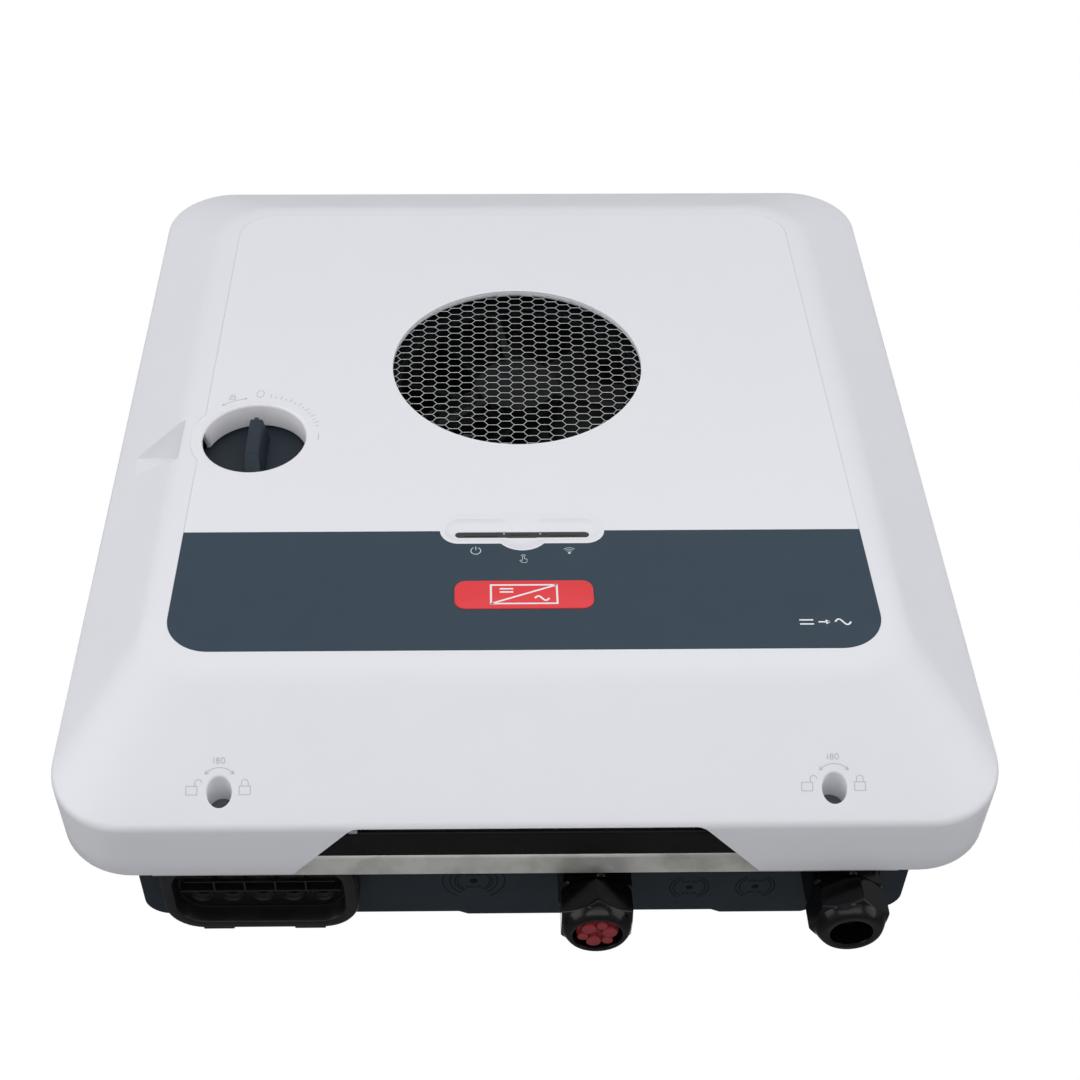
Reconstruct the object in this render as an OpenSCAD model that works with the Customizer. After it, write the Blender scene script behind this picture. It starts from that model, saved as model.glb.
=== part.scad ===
// String inverter for a photovoltaic system, hung on a wall bracket.
// +X is to the viewer's right, +Y points into the wall, +Z is up. The wall is the plane y = 0,
// and the origin is the middle of the wall bracket's four bolt holes.

/* [Front cover] */
// Width of the front cover
cover_w = 474; // [470:1:480]
// Height of the front cover
cover_h = 530; // [528:1:536]
// Corner radius of the cover's outline
cover_r = 41; // [38:1:44]
// Distance from the wall to the front face
front_depth = 165; // [164:0.5:167]
// Distance from the wall to the open back edge of the cover
lip_depth = 81; // [80:0.5:82]
// Distance from the wall to the crease at the bottom edge
crease_low = 119.5; // [118:0.5:121]
// Distance from the wall to the crease at the top edge
crease_high = 143; // [140:0.5:145]
// Width of the flat front face
face_w = 383.5; // [382:0.5:385]
// Lower edge of the flat front face
face_low = -203; // [-205:0.5:-202]
// Upper edge of the flat front face
face_high = 212; // [210:0.5:213]
// Corner radius of the flat front face
face_r = 34; // [30:1:38]
// Wall thickness of the cover
wall = 2.6; // [2.4:0.1:2.8]

/* [Front film] */
// Width of the film on the front face
film_w = 361.6; // [360:0.2:363]
// Lower edge of the film
film_low = -190.8; // [-192:0.2:-190]
// Upper edge of the film
film_high = 202.6; // [201:0.2:204]
// Corner radius of the film
film_r = 23; // [20:1:26]
// Height of the line between the white film and the dark band
band_top = -105.1; // [-106:0.1:-104]

/* [Fan] */
// Height of the fan's axis
fan_z = 40.4; // [38:0.2:42]
// Radius of the round opening in the cover
fan_r = 74.5; // [73:0.5:75]
// Sideways pitch of the grille's cells
cell_x = 7.5; // [7:0.5:9]
// Vertical pitch of the grille's cells
cell_z = 6.6; // [6:0.2:8]
// Width of the grille's strands
strand = 0.8; // [0.6:0.1:1]
// Number of fan blades
blades = 9; // [7:1:11]

/* [DC disconnector] */
// Sideways place of the knob's axis
knob_x = -151; // [-153:0.5:-150]
// Height of the knob's axis
knob_z = -26.4; // [-28:0.2:-25]
// Radius of the well that the knob sits in
well_r = 29.3; // [28.5:0.1:29.5]
// Depth of the well
well_depth = 16.5; // [16:0.5:16.5]

/* [Light bar] */
// Height of the middle of the light bar
bar_z = -103.2; // [-104:0.2:-103]
// Width of the raised border round the light bar
bar_w = 87.6; // [86:0.2:89]

/* [Cover locks] */
// Distance of each lock screw from the middle
lock_x = 149.4; // [148:0.2:151]
// Height of the lock screws
lock_z = -250.5; // [-251:0.1:-250]
// Radius of the lock screw's head
lock_r = 6; // [5.5:0.1:6.2]

/* [Rear housing] */
// Width of the rear housing
housing_w = 404; // [402:1:406]
// Lowest face of the rear housing
housing_low = -242; // [-243:0.5:-241]
// Top face of the rear housing
housing_high = 236; // [235:0.5:237]
// Distance from the wall to the back of the rear housing
housing_back = 12; // [11.5:0.1:12]
// Radius of the rear housing's upright edges
housing_r = 13; // [10:1:15]

/* [Cable entries] */
// Sideways places of the two cable glands
gland_x = [35.7, 163.8];
// Distance of the glands from the wall
gland_y = -53.8; // [-54.5:0.1:-53.5]
// Distance across the flats of a gland nut
gland_flats = 36; // [35.8:0.1:36.6]
// Sideways place of the middle of the DC entry
entry_x = -137.8; // [-138.5:0.1:-137]
// Distance between neighbouring DC cable seals
seal_pitch = 15.85; // [15.6:0.05:16.4]

/* [Wall bracket] */
// Sideways distance between the bolt holes
bolt_x = 200; // [180:5:220]
// Vertical distance between the bolt holes
bolt_z = 60; // [50:5:70]
// Radius of a bolt hole
bolt_r = 4.5; // [3.5:0.5:5.5]

/* [Hidden] */
$fn = 48;
eps = 0.1;

// Planes of the stack, from the wall towards the viewer
plate_front = -91;
plate_back = -89.5;
rim_y = -88.5;
board_back = -97.4;
board_front = -99;
tray_front = -108;
guard_front = -152;
guard_back = -150;
face_y = -front_depth;
skin_back = face_y + wall;
film_t = 0.5;
film_gap = 0.15;

// Heights of the inner zones
guard_low = -120;
guard_high = 226;
tray_low = -261;
tray_high = -122;
plate_low = -261.4;
plate_high = 238;
plate_w = 444;

// Cover hinge
hinge_y = -100;
hinge_z = 247;
hinge_x = 150;
rod_r = 2;
fit = 0.05;

// Disconnector
disc_r = 33;
disc_front = -147.5;
shaft_r = 5;
handle_front = -162;

// Cover locks
pin_r = 3;
head_front = -116.5;
head_back = -112;

// Glands and DC entry
mouth_z = -284;
nut_top = -262;
seal_front = -271.8;
plug_front = -277.2;
entry_w = 101.8;
entry_back = -16.5;
entry_front = -76.5;
entry_low = -255;
seal_rows = [-37.5, -58.3];
seal_cols = [-2, -1, 0, 1, 2];

// ---- helpers ----

module box(x, y, z) {
    translate([x[0], y[0], z[0]])
        cube([x[1] - x[0], y[1] - y[0], z[1] - z[0]]);
}

module rounded(w, h, r) {
    square([w - 2 * r, h], center = true);
    square([w, h - 2 * r], center = true);
    for (sx = [-1, 1], sz = [-1, 1])
        translate([sx * (w / 2 - r), sz * (h / 2 - r)]) circle(r);
}

// A drawing in the x-z plane made into a slab from y0 back to y1
module slab(y0, y1) {
    translate([0, y1, 0]) rotate([90, 0, 0]) linear_extrude(y1 - y0) children();
}

module post(x, z, r, y0, y1) {
    translate([x, y1, z]) rotate([90, 0, 0]) cylinder(r = r, h = y1 - y0);
}

module stem(x, y, r, z0, z1) {
    translate([x, y, z0]) cylinder(r = r, h = z1 - z0);
}

module pan_screw(x, z, y, r = 3.5, length = 8) {
    difference() {
        post(x, z, r, y - 2.2, y);
        post(x, z, r / 2, y - 2.3, y - 1.1);
    }
}

module at_corners(w, h) {
    for (sx = [-1, 1], sz = [-1, 1]) translate([sx * w / 2, 0, sz * h / 2]) children();
}

// ---- wall bracket and hanging rail ----

bracket_w = 280;
bracket_low = -50;
bracket_high = 60;
hook_y = [-10, -8];
hook_top = 74;

module wall_bracket() {
    color("#9a9c9d") difference() {
        union() {
            slab(-2, 0) translate([0, (bracket_low + bracket_high) / 2])
                rounded(bracket_w, bracket_high - bracket_low, 8);
            box([-120, 120], [-10, -2], [bracket_high - 2, bracket_high]);
            box([-120, 120], hook_y, [bracket_high - 2, hook_top]);
            for (s = [-1, 1]) box([s * 130 - 6, s * 130 + 6], [-8, -2], [bracket_low, bracket_low + 2]);
        }
        at_corners(bolt_x, bolt_z) post(0, 0, bolt_r, -3, 1);
        slab(-3, 1) rounded(110, 50, 20);
    }
}

module hanger_rail() {
    color("#9a9c9d") {
        box([-125, 125], [-12, -10.5], [hook_top + 0.4, hook_top + 22]);
        box([-125, 125], [-10.5, -4], [hook_top + 0.4, hook_top + 2.4]);
        box([-125, 125], [-6, -4], [bracket_high + 4, hook_top + 0.4]);
        for (x = [-100, 0, 100]) post(x, hook_top + 13, 4, -10.5, -8.5);
    }
}

module wall_buffers() {
    color("#26282a") for (s = [-1, 1]) {
        post(s * 150, -200, 9, -12, -4);
        post(s * 150, -200, 7, -4, -0.6);
    }
}

// ---- rear housing ----

module housing_profile(inset) {
    half = housing_w / 2 - inset;
    back = -housing_back - inset;
    r = housing_r - inset;
    translate([-half, rim_y - inset]) square([2 * half, back - r - rim_y + inset]);
    translate([-half + r, back - r - eps]) square([2 * half - 2 * r, r + eps]);
    for (s = [-1, 1]) translate([s * (half - r), back - r]) circle(r);
}

module rear_housing() {
    t = 3.5;
    color("#2c3135") difference() {
        union() {
            difference() {
                translate([0, 0, housing_low]) linear_extrude(housing_high - housing_low)
                    housing_profile(0);
                translate([0, 0, housing_low + t]) linear_extrude(housing_high - housing_low - 2 * t)
                    housing_profile(t);
            }
            box([-200, 200], [rim_y, -14], [-118, -115]);
            for (x = [[-150, -106], [-30, 34], [106, 150]]) hull() {
                box(x, [-13, -9.5], [housing_low, housing_low + 16]);
                box([x[0] - 7, x[1] + 7], [-13.4, -13], [housing_low, housing_low + 16]);
            }
        }
        for (s = [-1, 1], i = [0:21])
            box([s * 202 - 5, s * 202 + 5], [-74, -26], [-56 + i * 12, -50 + i * 12]);
        for (x = gland_x) stem(x, gland_y, 16.2, housing_low - 1, housing_low + 5);
        translate([entry_x, (entry_back + entry_front) / 2, housing_low - 1])
            linear_extrude(6) rounded(92, 48, 10);
    }
}

module housing_gasket() {
    color("#1b1c1d") slab(plate_back, rim_y) difference() {
        translate([0, (housing_low + housing_high) / 2]) square([402, 476], center = true);
        translate([0, (housing_low + housing_high) / 2]) square([397, 471], center = true);
    }
}

module chassis_plate() {
    color("#a3a5a4") difference() {
        union() {
            slab(plate_front, plate_back) translate([0, (plate_low + plate_high) / 2])
                rounded(plate_w, plate_high - plate_low, 32);
            box([-188, 188], [plate_front, -75.6], [plate_low, plate_low + 1.5]);
        }
        post(0, fan_z, 71, -92, -88);
        for (s = [-1, 1]) post(s * lock_x, lock_z, 6.5, -92, -88);
        for (x = [-137, 35, 150]) box([x - 24, x + 24], [-92, -88], [-236, -212]);
        difference() {
            box([-189, 189], [-92, -88.6], [-263, -259]);
            translate([-190, -88.6, -259]) rotate([0, 90, 0]) cylinder(r = 2.4, h = 380);
        }
    }
}

module plate_screws() {
    color("#c3c5c6") for (s = [-1, 1], z = [-228, -130, -20, 110, 222])
        pan_screw(s * 206, z, plate_front);
}

module heat_sink() {
    fins = 34;
    pitch = 9.6;
    color("#c6c8ca") difference() {
        union() {
            box([-190, 190], [plate_back, -83], [-108, 222]);
            for (i = [0:fins - 1]) box([-190, 190], [-83, -19], [-105 + i * pitch, -103 + i * pitch]);
        }
        post(0, fan_z, 71, -90, -60);
    }
}

// ---- fan ----

module fan_duct() {
    color("#1f2123") difference() {
        post(0, fan_z, 73.5, -113, plate_front);
        post(0, fan_z, 71, -114, -90);
    }
}

module fan_frame() {
    color("#1d1f21") difference() {
        union() {
            difference() {
                post(0, fan_z, 73.5, -149.5, -113);
                post(0, fan_z, 70.5, -150, -112);
            }
            post(0, fan_z, 24, -149.5, -146);
            for (a = [20:120:260]) translate([0, 0, fan_z]) rotate([0, a, 0])
                box([20, 71.5], [-149.5, -146], [-2, 2]);
        }
        post(0, fan_z, pin_r + fit, -148.5, -145);
    }
}

module fan_rotor() {
    color("#232527") {
        post(0, fan_z, 27, -143.5, -118);
        post(0, fan_z, pin_r, -148.2, -143.5);
        intersection() {
            post(0, fan_z, 68.5, -144, -116);
            translate([0, 0, fan_z]) for (i = [0:blades - 1]) rotate([0, i * 360 / blades, 0])
                translate([24, -130, 0]) rotate([38, 0, 0]) translate([0, -1, -15])
                    cube([50, 2, 30]);
        }
    }
}

// ---- inner cover over the power electronics ----

module inner_cover() {
    mid = (guard_low + guard_high) / 2;
    tall = guard_high - guard_low;
    color("#202224") difference() {
        slab(guard_front, plate_front) translate([0, mid]) rounded(390, tall, 12);
        slab(guard_back, plate_front + 1) translate([0, mid]) rounded(386, tall - 4, 10);
        post(0, fan_z, 73.8, -153, -149);
        post(knob_x, knob_z, disc_r + 1.2, -153, -149);
        box([-196, knob_x], [-153, -137], [-62, 10]);
        box([-38.5, 38.5], [-153, -149], [-110.3, -101.3]);
    }
}

module inner_cover_screws() {
    color("#c3c5c6") for (s = [-1, 1], z = [-104, 90, 210]) pan_screw(s * 180, z, guard_front);
}

// ---- power electronics ----

module power_board() {
    color("#1f6b3c") slab(board_front, board_back) difference() {
        translate([0, 62]) square([376, 320], center = true);
        translate([0, fan_z]) circle(78);
        translate([knob_x, knob_z]) square([78, 70], center = true);
    }
}

module board_standoffs() {
    color("#b9a26a") for (x = [-180, -95, 95, 180], z = [-92, 215]) post(x, z, 3, board_back, plate_front);
}

module power_modules() {
    color("#303336") for (x = [-60, 0, 60]) box([x - 24, x + 24], [board_back, plate_front], [150, 186]);
}

module bulk_capacitors() {
    color("#2b3b4a") for (x = [-165, -127, -89], z = [150, 188])
        difference() {
            post(x, z, 17.5, -144, board_front);
            post(x, z, 13, -144.5, -143);
        }
}

module film_capacitors() {
    color("#b8b06a") for (x = [-20, 26], z = [146, 184]) box([x - 20, x + 20], [-135, board_front], [z - 16, z + 14]);
}

module boost_chokes() {
    color("#4a4d50") for (z = [-88, -16]) {
        box([98, 172], [-142, board_front], [z, z + 62]);
        for (x = [112, 158]) post(x, z + 31, 5, -145, -142);
    }
}

module output_choke() {
    color("#8a4b2a") {
        translate([138, board_front, 128]) rotate([90, 0, 0])
            rotate_extrude() translate([28, 21]) circle(19);
        for (s = [-1, 1]) box([138 + s * 28 - 8, 138 + s * 28 + 8], [-106, board_front], [118, 138]);
    }
}

module line_filter() {
    color("#6f3f26") for (x = [-72, -20])
        translate([x, board_front, -66]) rotate([90, 0, 0]) rotate_extrude() translate([15, 12]) circle(9);
    color("#c7a92c") box([10, 36], [-119, board_front], [-84, -54]);
}

module relays() {
    color("#27292b") for (x = [48, 68], z = [-90, -70]) box([x - 8, x + 8], [-120, board_front], [z, z + 17]);
}

module control_board() {
    color("#1c5c8a") {
        box([70, 178], [-147, -145.4], [165, 218]);
        for (x = [82, 104, 126]) box([x, x + 14], [-149, -147], [180, 194]);
        for (x = [74, 174], z = [169, 214]) post(x, z, 2.5, -145.4, board_front);
    }
}

module radio_module() {
    color("#1c5c8a") box([-186, -150], [-148, -146.4], [60, 84]);
    color("#c9cbcc") box([-182, -162], [-149.5, -148], [63, 81]);
    color("#1c5c8a") for (z = [64, 80]) post(-152, z, 1.6, -146.4, board_front);
}

module status_board() {
    color("#1c5c8a") {
        box([-46, 46], [-148.5, -147], [-117, -90]);
        for (s = [-1, 1]) post(s * 42, -94, 2, -147, board_front);
    }
    color("#f2f0e4") for (i = [-3:3]) box([i * 10 - 1.5, i * 10 + 1.5], [-149.5, -148.5], [-107.3, -104.3]);
}

module light_guide() {
    color("#d8dde0") box([-35.5, 35.5], [-160.8, -149.8], [-107.9, -103.7]);
}

// ---- DC disconnector ----

module disconnector_body() {
    color("#34383b") difference() {
        union() {
            box([knob_x - 30, knob_x + 30], [-136, plate_front], [knob_z - 30, knob_z + 30]);
            post(knob_x, knob_z, 12, -140, -136);
            for (s = [-1, 1], i = [-1:1])
                box([knob_x + i * 18 - 6, knob_x + i * 18 + 6], [-120, -100],
                    [knob_z + s * 32 - 2, knob_z + s * 32 + 2]);
        }
        post(knob_x, knob_z, shaft_r + fit, -141, -111);
    }
}

module disconnector_shaft() {
    color("#b4b6b8") post(knob_x, knob_z, shaft_r, -141, -112);
}

module disconnector_knob() {
    color("#2e3740") {
        post(knob_x, knob_z, disc_r, disc_front, -144);
        post(knob_x, knob_z, 10, -144, -141);
        hull() {
            box([knob_x - 5.3, knob_x + 5.3], [disc_front, disc_front + eps], [knob_z - 24, knob_z + 19.6]);
            box([knob_x - 3.8, knob_x + 3.8], [handle_front, handle_front + eps], [knob_z - 10, knob_z + 20.2]);
        }
        box([knob_x - 1.3, knob_x + 1.3], [handle_front + 0.5, -150], [knob_z + 19, knob_z + 21.4]);
    }
}

// ---- connection area ----

module tray_ring(grow) {
    translate([0, (tray_low + tray_high) / 2])
        rounded(370 + 2 * grow, tray_high - tray_low + 2 * grow, 10 + grow);
}

module connection_tray() {
    color("#191b1c") {
        slab(tray_front, plate_front) difference() {
            tray_ring(0);
            tray_ring(-2.2);
        }
        for (x = [-82, 86]) box([x - 1, x + 1], [-104, plate_front], [tray_low + 2.2, tray_high - 2.2]);
    }
}

module tray_gasket() {
    color("#303234") slab(tray_front - 1.5, tray_front) difference() {
        tray_ring(-0.4);
        tray_ring(-1.8);
    }
}

module comms_board() {
    color("#1f6b3c") box([-74, 76], [-96, -94.4], [-190, -128]);
    color("#b9a26a") for (x = [-70, 72], z = [-186, -132]) post(x, z, 2.5, -94.4, plate_front);
}

module data_terminals() {
    color("#3f9b4f") for (i = [0:9]) difference() {
        box([-66 + i * 7, -59.4 + i * 7], [-106, -96], [-186, -172]);
        post(-62.7 + i * 7, -176, 1.6, -107, -102);
        box([-65 + i * 7, -60.4 + i * 7], [-104, -99], [-187, -182]);
    }
}

module network_sockets() {
    color("#b9bbbd") for (x = [22, 44]) difference() {
        box([x - 8.5, x + 8.5], [-110, -96], [-187, -166]);
        box([x - 6.2, x + 6.2], [-108, -98.5], [-188, -173]);
    }
}

module lever_terminals(x0, count, pitch, z) {
    for (i = [0:count - 1]) translate([x0 + i * pitch, 0, 0]) difference() {
        union() {
            box([0.2, pitch - 0.2], [-106, plate_front], [z, z + 34]);
            box([1.2, pitch - 1.2], [-111, -106], [z + 14, z + 32]);
        }
        box([pitch / 2 - 2.5, pitch / 2 + 2.5], [-101, -95], [z - 1, z + 12]);
    }
}

module dc_terminals() {
    color("#d0793a") lever_terminals(-176, 8, 11, -196);
}

module ac_terminals() {
    color("#b9bcc0") lever_terminals(98, 5, 15, -196);
}

module ground_bar() {
    color("#b58a4e") difference() {
        union() {
            box([-60, 10], [-101, -97], [-222, -212]);
            for (x = [-56, 6]) box([x - 4, x + 4], [-97, plate_front], [-222, -212]);
            for (x = [-47:15:-2]) post(x, -217, 4, -104, -101);
        }
        for (x = [-47:15:-2]) box([x - 3, x + 3], [-104.5, -103], [-217.5, -216.5]);
    }
}

// ---- cable entries ----

module entry_outline(grow) {
    translate([entry_x, (entry_back + entry_front) / 2])
        rounded(entry_w + 2 * grow, entry_back - entry_front + 2 * grow, 19 + grow);
}

module dc_entry_frame() {
    color("#151617") difference() {
        union() {
            translate([0, 0, entry_low]) linear_extrude(housing_low - entry_low) entry_outline(0);
            translate([entry_x, (entry_back + entry_front) / 2, housing_low]) linear_extrude(5)
                rounded(91, 47, 9.5);
            for (s = [-1, 1]) box([entry_x + s * 27 - 9, entry_x + s * 27 + 9],
                [entry_back - 1, entry_back + 1.4], [entry_low + 1.5, housing_low - 3]);
        }
        translate([0, 0, entry_low - 1]) linear_extrude(12) entry_outline(-7.5);
        translate([entry_x, (entry_back + entry_front) / 2, housing_low - 4]) linear_extrude(10)
            rounded(86, 42, 7);
    }
}

module dc_entry_insert() {
    color("#101112") difference() {
        union() {
            translate([entry_x, (entry_back + entry_front) / 2, housing_low - 3.6]) linear_extrude(4)
                rounded(86, 42, 7);
            box([entry_x - 42, entry_x + 42], [-45.3, -44.2], [-250, housing_low - 3.6]);
            box([entry_x - 39, entry_x + 39], [-53.2, -52.5], [-250, housing_low - 6]);
            for (i = [-1.5:1:1.5]) box([entry_x + i * seal_pitch - 0.45, entry_x + i * seal_pitch + 0.45],
                [-53.2, -44.2], [-250, housing_low - 3.6]);
        }
        for (i = seal_cols, y = seal_rows) {
            stem(entry_x + i * seal_pitch, y, 6, housing_low - 5, housing_low + 5);
            stem(entry_x + i * seal_pitch, y, 7.1, housing_low - 5.8, housing_low - 3.6);
        }
    }
}

module dc_entry_seals() {
    color("#0d0e0f") for (i = seal_cols, y = seal_rows) difference() {
        union() {
            stem(entry_x + i * seal_pitch, y, 6, housing_low - 3.6, housing_low + 3);
            stem(entry_x + i * seal_pitch, y, 7, housing_low - 5.6, housing_low - 3.6);
        }
        stem(entry_x + i * seal_pitch, y, 2.8, housing_low - 8, housing_low + 5);
        stem(entry_x + i * seal_pitch, y, 5.2, housing_low - 8, housing_low - 4.6);
    }
}

hex_r = gland_flats / 2 / cos(30);

module gland_bodies() {
    color("#17181a") for (x = gland_x) difference() {
        union() {
            translate([x, gland_y, nut_top + 0.5]) rotate([0, 0, 36]) cylinder(r = hex_r - 0.3, h = 19.5, $fn = 6);
            stem(x, gland_y, 16, housing_low - 1, -228);
            stem(x, gland_y, 14.5, nut_top - 8, nut_top + 2);
        }
        stem(x, gland_y, 12.6, nut_top - 9, -227);
    }
}

module gland_locknuts() {
    color("#1d1e20") for (x = gland_x) difference() {
        translate([x, gland_y, housing_low + 3.5]) rotate([0, 0, 30]) cylinder(r = 22, h = 6, $fn = 6);
        stem(x, gland_y, 16, housing_low, -230);
    }
}

module gland_nut(x, turn, mouth) {
    translate([x, gland_y, 0]) difference() {
        intersection() {
            translate([0, 0, mouth_z]) rotate([0, 0, 30 + turn]) cylinder(r = hex_r, h = nut_top - mouth_z, $fn = 6);
            union() {
                translate([0, 0, mouth_z]) cylinder(r1 = 14.7, r2 = 17.3, h = 4);
                translate([0, 0, mouth_z + 4]) cylinder(r1 = 17.3, r2 = 19.4, h = 5);
                translate([0, 0, mouth_z + 9]) cylinder(r1 = 19.4, r2 = 20.5, h = 5);
                translate([0, 0, mouth_z + 14]) cylinder(r = 20.5, h = nut_top - mouth_z - 14);
            }
        }
        translate([0, 0, mouth_z - 1]) cylinder(r = mouth, h = 30);
        translate([0, 0, mouth_z + 12]) cylinder(r = 14.8, h = 30);
    }
}

module gland_nuts() {
    color("#17181a") {
        gland_nut(gland_x[0], 0, 12.4);
        gland_nut(gland_x[1], 12, 11);
    }
}

module gland_seals() {
    color("#0e0f10") difference() {
        stem(gland_x[1], gland_y, 12.4, seal_front, nut_top + 4);
        stem(gland_x[1], gland_y, 6.5, mouth_z, nut_top + 5);
    }
    color("#0e0f10") difference() {
        stem(gland_x[0], gland_y, 12.4, seal_front, nut_top + 4);
        stem(gland_x[0], gland_y, 11, mouth_z, nut_top + 5);
    }
}

module plug_insert() {
    color("#7d1c22") {
        stem(gland_x[0], gland_y, 10.95, plug_front + 2.5, nut_top + 4);
        for (i = [0:2]) {
            stem(gland_x[0] + 6.4 * sin(120 * i - 16), gland_y + 6.4 * cos(120 * i - 16), 3.8, plug_front, plug_front + 3);
            stem(gland_x[0] + 7.6 * sin(120 * i + 44), gland_y + 7.6 * cos(120 * i + 44), 2.75, plug_front, plug_front + 3);
        }
    }
}

// ---- cover hinge and lock sockets ----

module hinge_brackets() {
    color("#a3a5a4") for (s = [-1, 1]) translate([s * hinge_x, 0, 0]) {
        box([-20, 20], [-93, plate_front], [229, 238]);
        for (e = [-20, 18]) box([e, e + 2], [-105, plate_front], [229, 252]);
        translate([-20, hinge_y, hinge_z]) rotate([0, 90, 0]) cylinder(r = rod_r, h = 40);
    }
}

module latch_sockets() {
    color("#e2dfd2") for (s = [-1, 1]) difference() {
        union() {
            post(s * lock_x, lock_z, 8, -93, plate_front);
            post(s * lock_x, lock_z, 6.4, plate_front, -85);
        }
        post(s * lock_x, lock_z, 3.4, -94, -84);
    }
}

// ---- front cover ----

crease_mid = (crease_low + crease_high) / 2;
crease_tilt = atan((crease_high - crease_low) / cover_h);

// The cover's outer form, or with an inset the hollow inside it
module cover_form(inset) {
    hull() {
        slab(-lip_depth - 1, -lip_depth + (inset > 0 ? 1 : 0))
            rounded(cover_w - 2 * inset, cover_h - 2 * inset, cover_r - inset);
        translate([0, -crease_mid + 0.4 * inset, 0]) rotate([crease_tilt, 0, 0]) slab(0, eps)
            rounded(cover_w - 2 * inset, cover_h - 2 * inset, cover_r - inset);
        slab(face_y + inset, face_y + inset + eps) translate([0, (face_low + face_high) / 2])
            rounded(face_w - 0.8 * inset, face_high - face_low - 0.8 * inset, face_r - 0.4 * inset);
    }
}

module film_outline(grow) {
    translate([0, (film_low + film_high) / 2])
        rounded(film_w + 2 * grow, film_high - film_low + 2 * grow, film_r + grow);
    translate([knob_x, knob_z]) circle(36 + grow);
}

module bar_outline(grow) {
    translate([0, bar_z]) rounded(bar_w + 2 * grow, 23 + 2 * grow, 10 + grow);
    translate([0, -105]) circle(15 + grow);
}

module film_cuts() {
    translate([0, fan_z]) circle(fan_r);
    translate([knob_x, knob_z]) circle(well_r + 1.4);
    bar_outline(film_gap);
}

module lip_cutout() {
    translate([0, 0, -cover_h / 2 - 1]) linear_extrude(8) {
        polygon([[-118, -lip_depth + 1], [-87.8, -115.2], [87.8, -115.2], [118, -lip_depth + 1]]);
        for (s = [-1, 1]) translate([s * 81.8, -110.2]) circle(8);
        translate([-81.8, -118.2]) square([163.6, 20]);
    }
}

module front_cover() {
    color("#e4e5eb") difference() {
        union() {
            difference() {
                cover_form(0);
                cover_form(wall);
            }
            intersection() {
                cover_form(0);
                union() {
                    post(knob_x, knob_z, well_r + 2.3, face_y - 1, face_y + well_depth);
                    for (s = [-1, 1]) {
                        post(s * lock_x, lock_z, lock_r + 2, -140, head_back + 2.6);
                        box([s * hinge_x - 12, s * hinge_x + 12], [hinge_y - 5.5, hinge_y + 5.5],
                            [hinge_z - 2.5, 264]);
                    }
                    box([-228, -188], [-161, -138.6], [-50, -4]);
                }
            }
        }
        slab(face_y - 1, face_y + film_t) film_outline(film_gap);
        post(0, fan_z, fan_r, face_y - 1, -150);
        post(knob_x, knob_z, well_r, face_y - 1, -140);
        box([-182, -170], [skin_back, -147], [-46, -22]);
        slab(face_y - 1, -160) bar_outline(film_gap);
        hull() {
            box([-232, -198.7], [-141.7, -141.6], [-32, -18]);
            box([-232, -190.8], [-168.1, -168], [-46, -7.2]);
        }
        for (s = [-1, 1]) {
            post(s * lock_x, lock_z, lock_r + 0.1, -150, head_back + 0.3);
            post(s * lock_x, lock_z, pin_r + 0.15, -150, -100);
            translate([s * hinge_x - 15, hinge_y, hinge_z]) rotate([0, 90, 0])
                cylinder(r = rod_r + fit, h = 30);
            box([s * hinge_x - 13, s * hinge_x + 13], [hinge_y - rod_r - fit, hinge_y + rod_r + fit],
                [hinge_z - 4, hinge_z]);
        }
        lip_cutout();
    }
}

module front_film() {
    color("#ecedf0") slab(face_y, face_y + film_t) difference() {
        film_outline(0);
        film_cuts();
        translate([-300, band_top - 300]) square([600, 300]);
    }
}

module band_film() {
    color("#3d4954") slab(face_y, face_y + film_t) difference() {
        film_outline(0);
        film_cuts();
        translate([-300, band_top]) square([600, 400]);
    }
}

module light_bar_frame() {
    color("#eeeff2") difference() {
        union() {
            slab(face_y - 0.4, skin_back) bar_outline(0);
            slab(skin_back, skin_back + 1.2) bar_outline(3);
        }
        slab(face_y - 1, face_y + 2.2) translate([0, -104.2]) rounded(82.8, 16.6, 8.2);
        translate([0, face_y - 26.5, -105]) sphere(30);
        box([-36, 36], [-170, -158], [-108.2, -103.4]);
    }
}

module light_window() {
    color("#15181a") box([-36, 36], [face_y + 2.4, skin_back + 1.2], [-108.2, -103.4]);
}

module cell(x, z) {
    run = 1.8;
    w = cell_x + run - strand;
    h = cell_z - strand;
    translate([x, z]) polygon([[-w / 2, 0], [-w / 2 + run, h / 2], [w / 2 - run, h / 2],
        [w / 2, 0], [w / 2 - run, -h / 2], [-w / 2 + run, -h / 2]]);
}

module grille_mesh() {
    cols = 10;
    rows = 11;
    color("#a9adb0") translate([0, 0, fan_z]) slab(skin_back, skin_back + 0.8) difference() {
        circle(79);
        for (i = [-cols:cols], j = [-rows:rows + 1]) {
            x = i * cell_x;
            z = (j - (i % 2 == 0 ? 0 : 0.5)) * cell_z;
            if (norm([x, z]) < fan_r - 0.5) cell(x, z);
        }
    }
}

module grille_ring() {
    color("#d9dadf") translate([0, 0, fan_z]) slab(skin_back + 0.8, skin_back + 2.6) difference() {
        circle(84);
        circle(76);
    }
}

module grille_screws() {
    color("#c3c5c6") for (a = [30:60:330])
        post(80 * cos(a), fan_z + 80 * sin(a), 2.4, skin_back + 2.6, skin_back + 4.2);
}

module badge() {
    color("#e8393c") slab(face_y - 0.5, face_y) translate([0, -152.8]) rounded(71.6, 20, 6);
}

// ---- cover locks ----

module latch(s) {
    color("#9b9da0") difference() {
        union() {
            post(s * lock_x, lock_z, lock_r, head_front, head_back);
            post(s * lock_x, lock_z, pin_r, head_back, -87);
            post(s * lock_x, lock_z, 5, -108.8, -107.6);
        }
        box([s * lock_x - 5, s * lock_x + 5], [head_front - 1, head_front + 2], [lock_z - 0.8, lock_z + 0.8]);
    }
}

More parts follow.
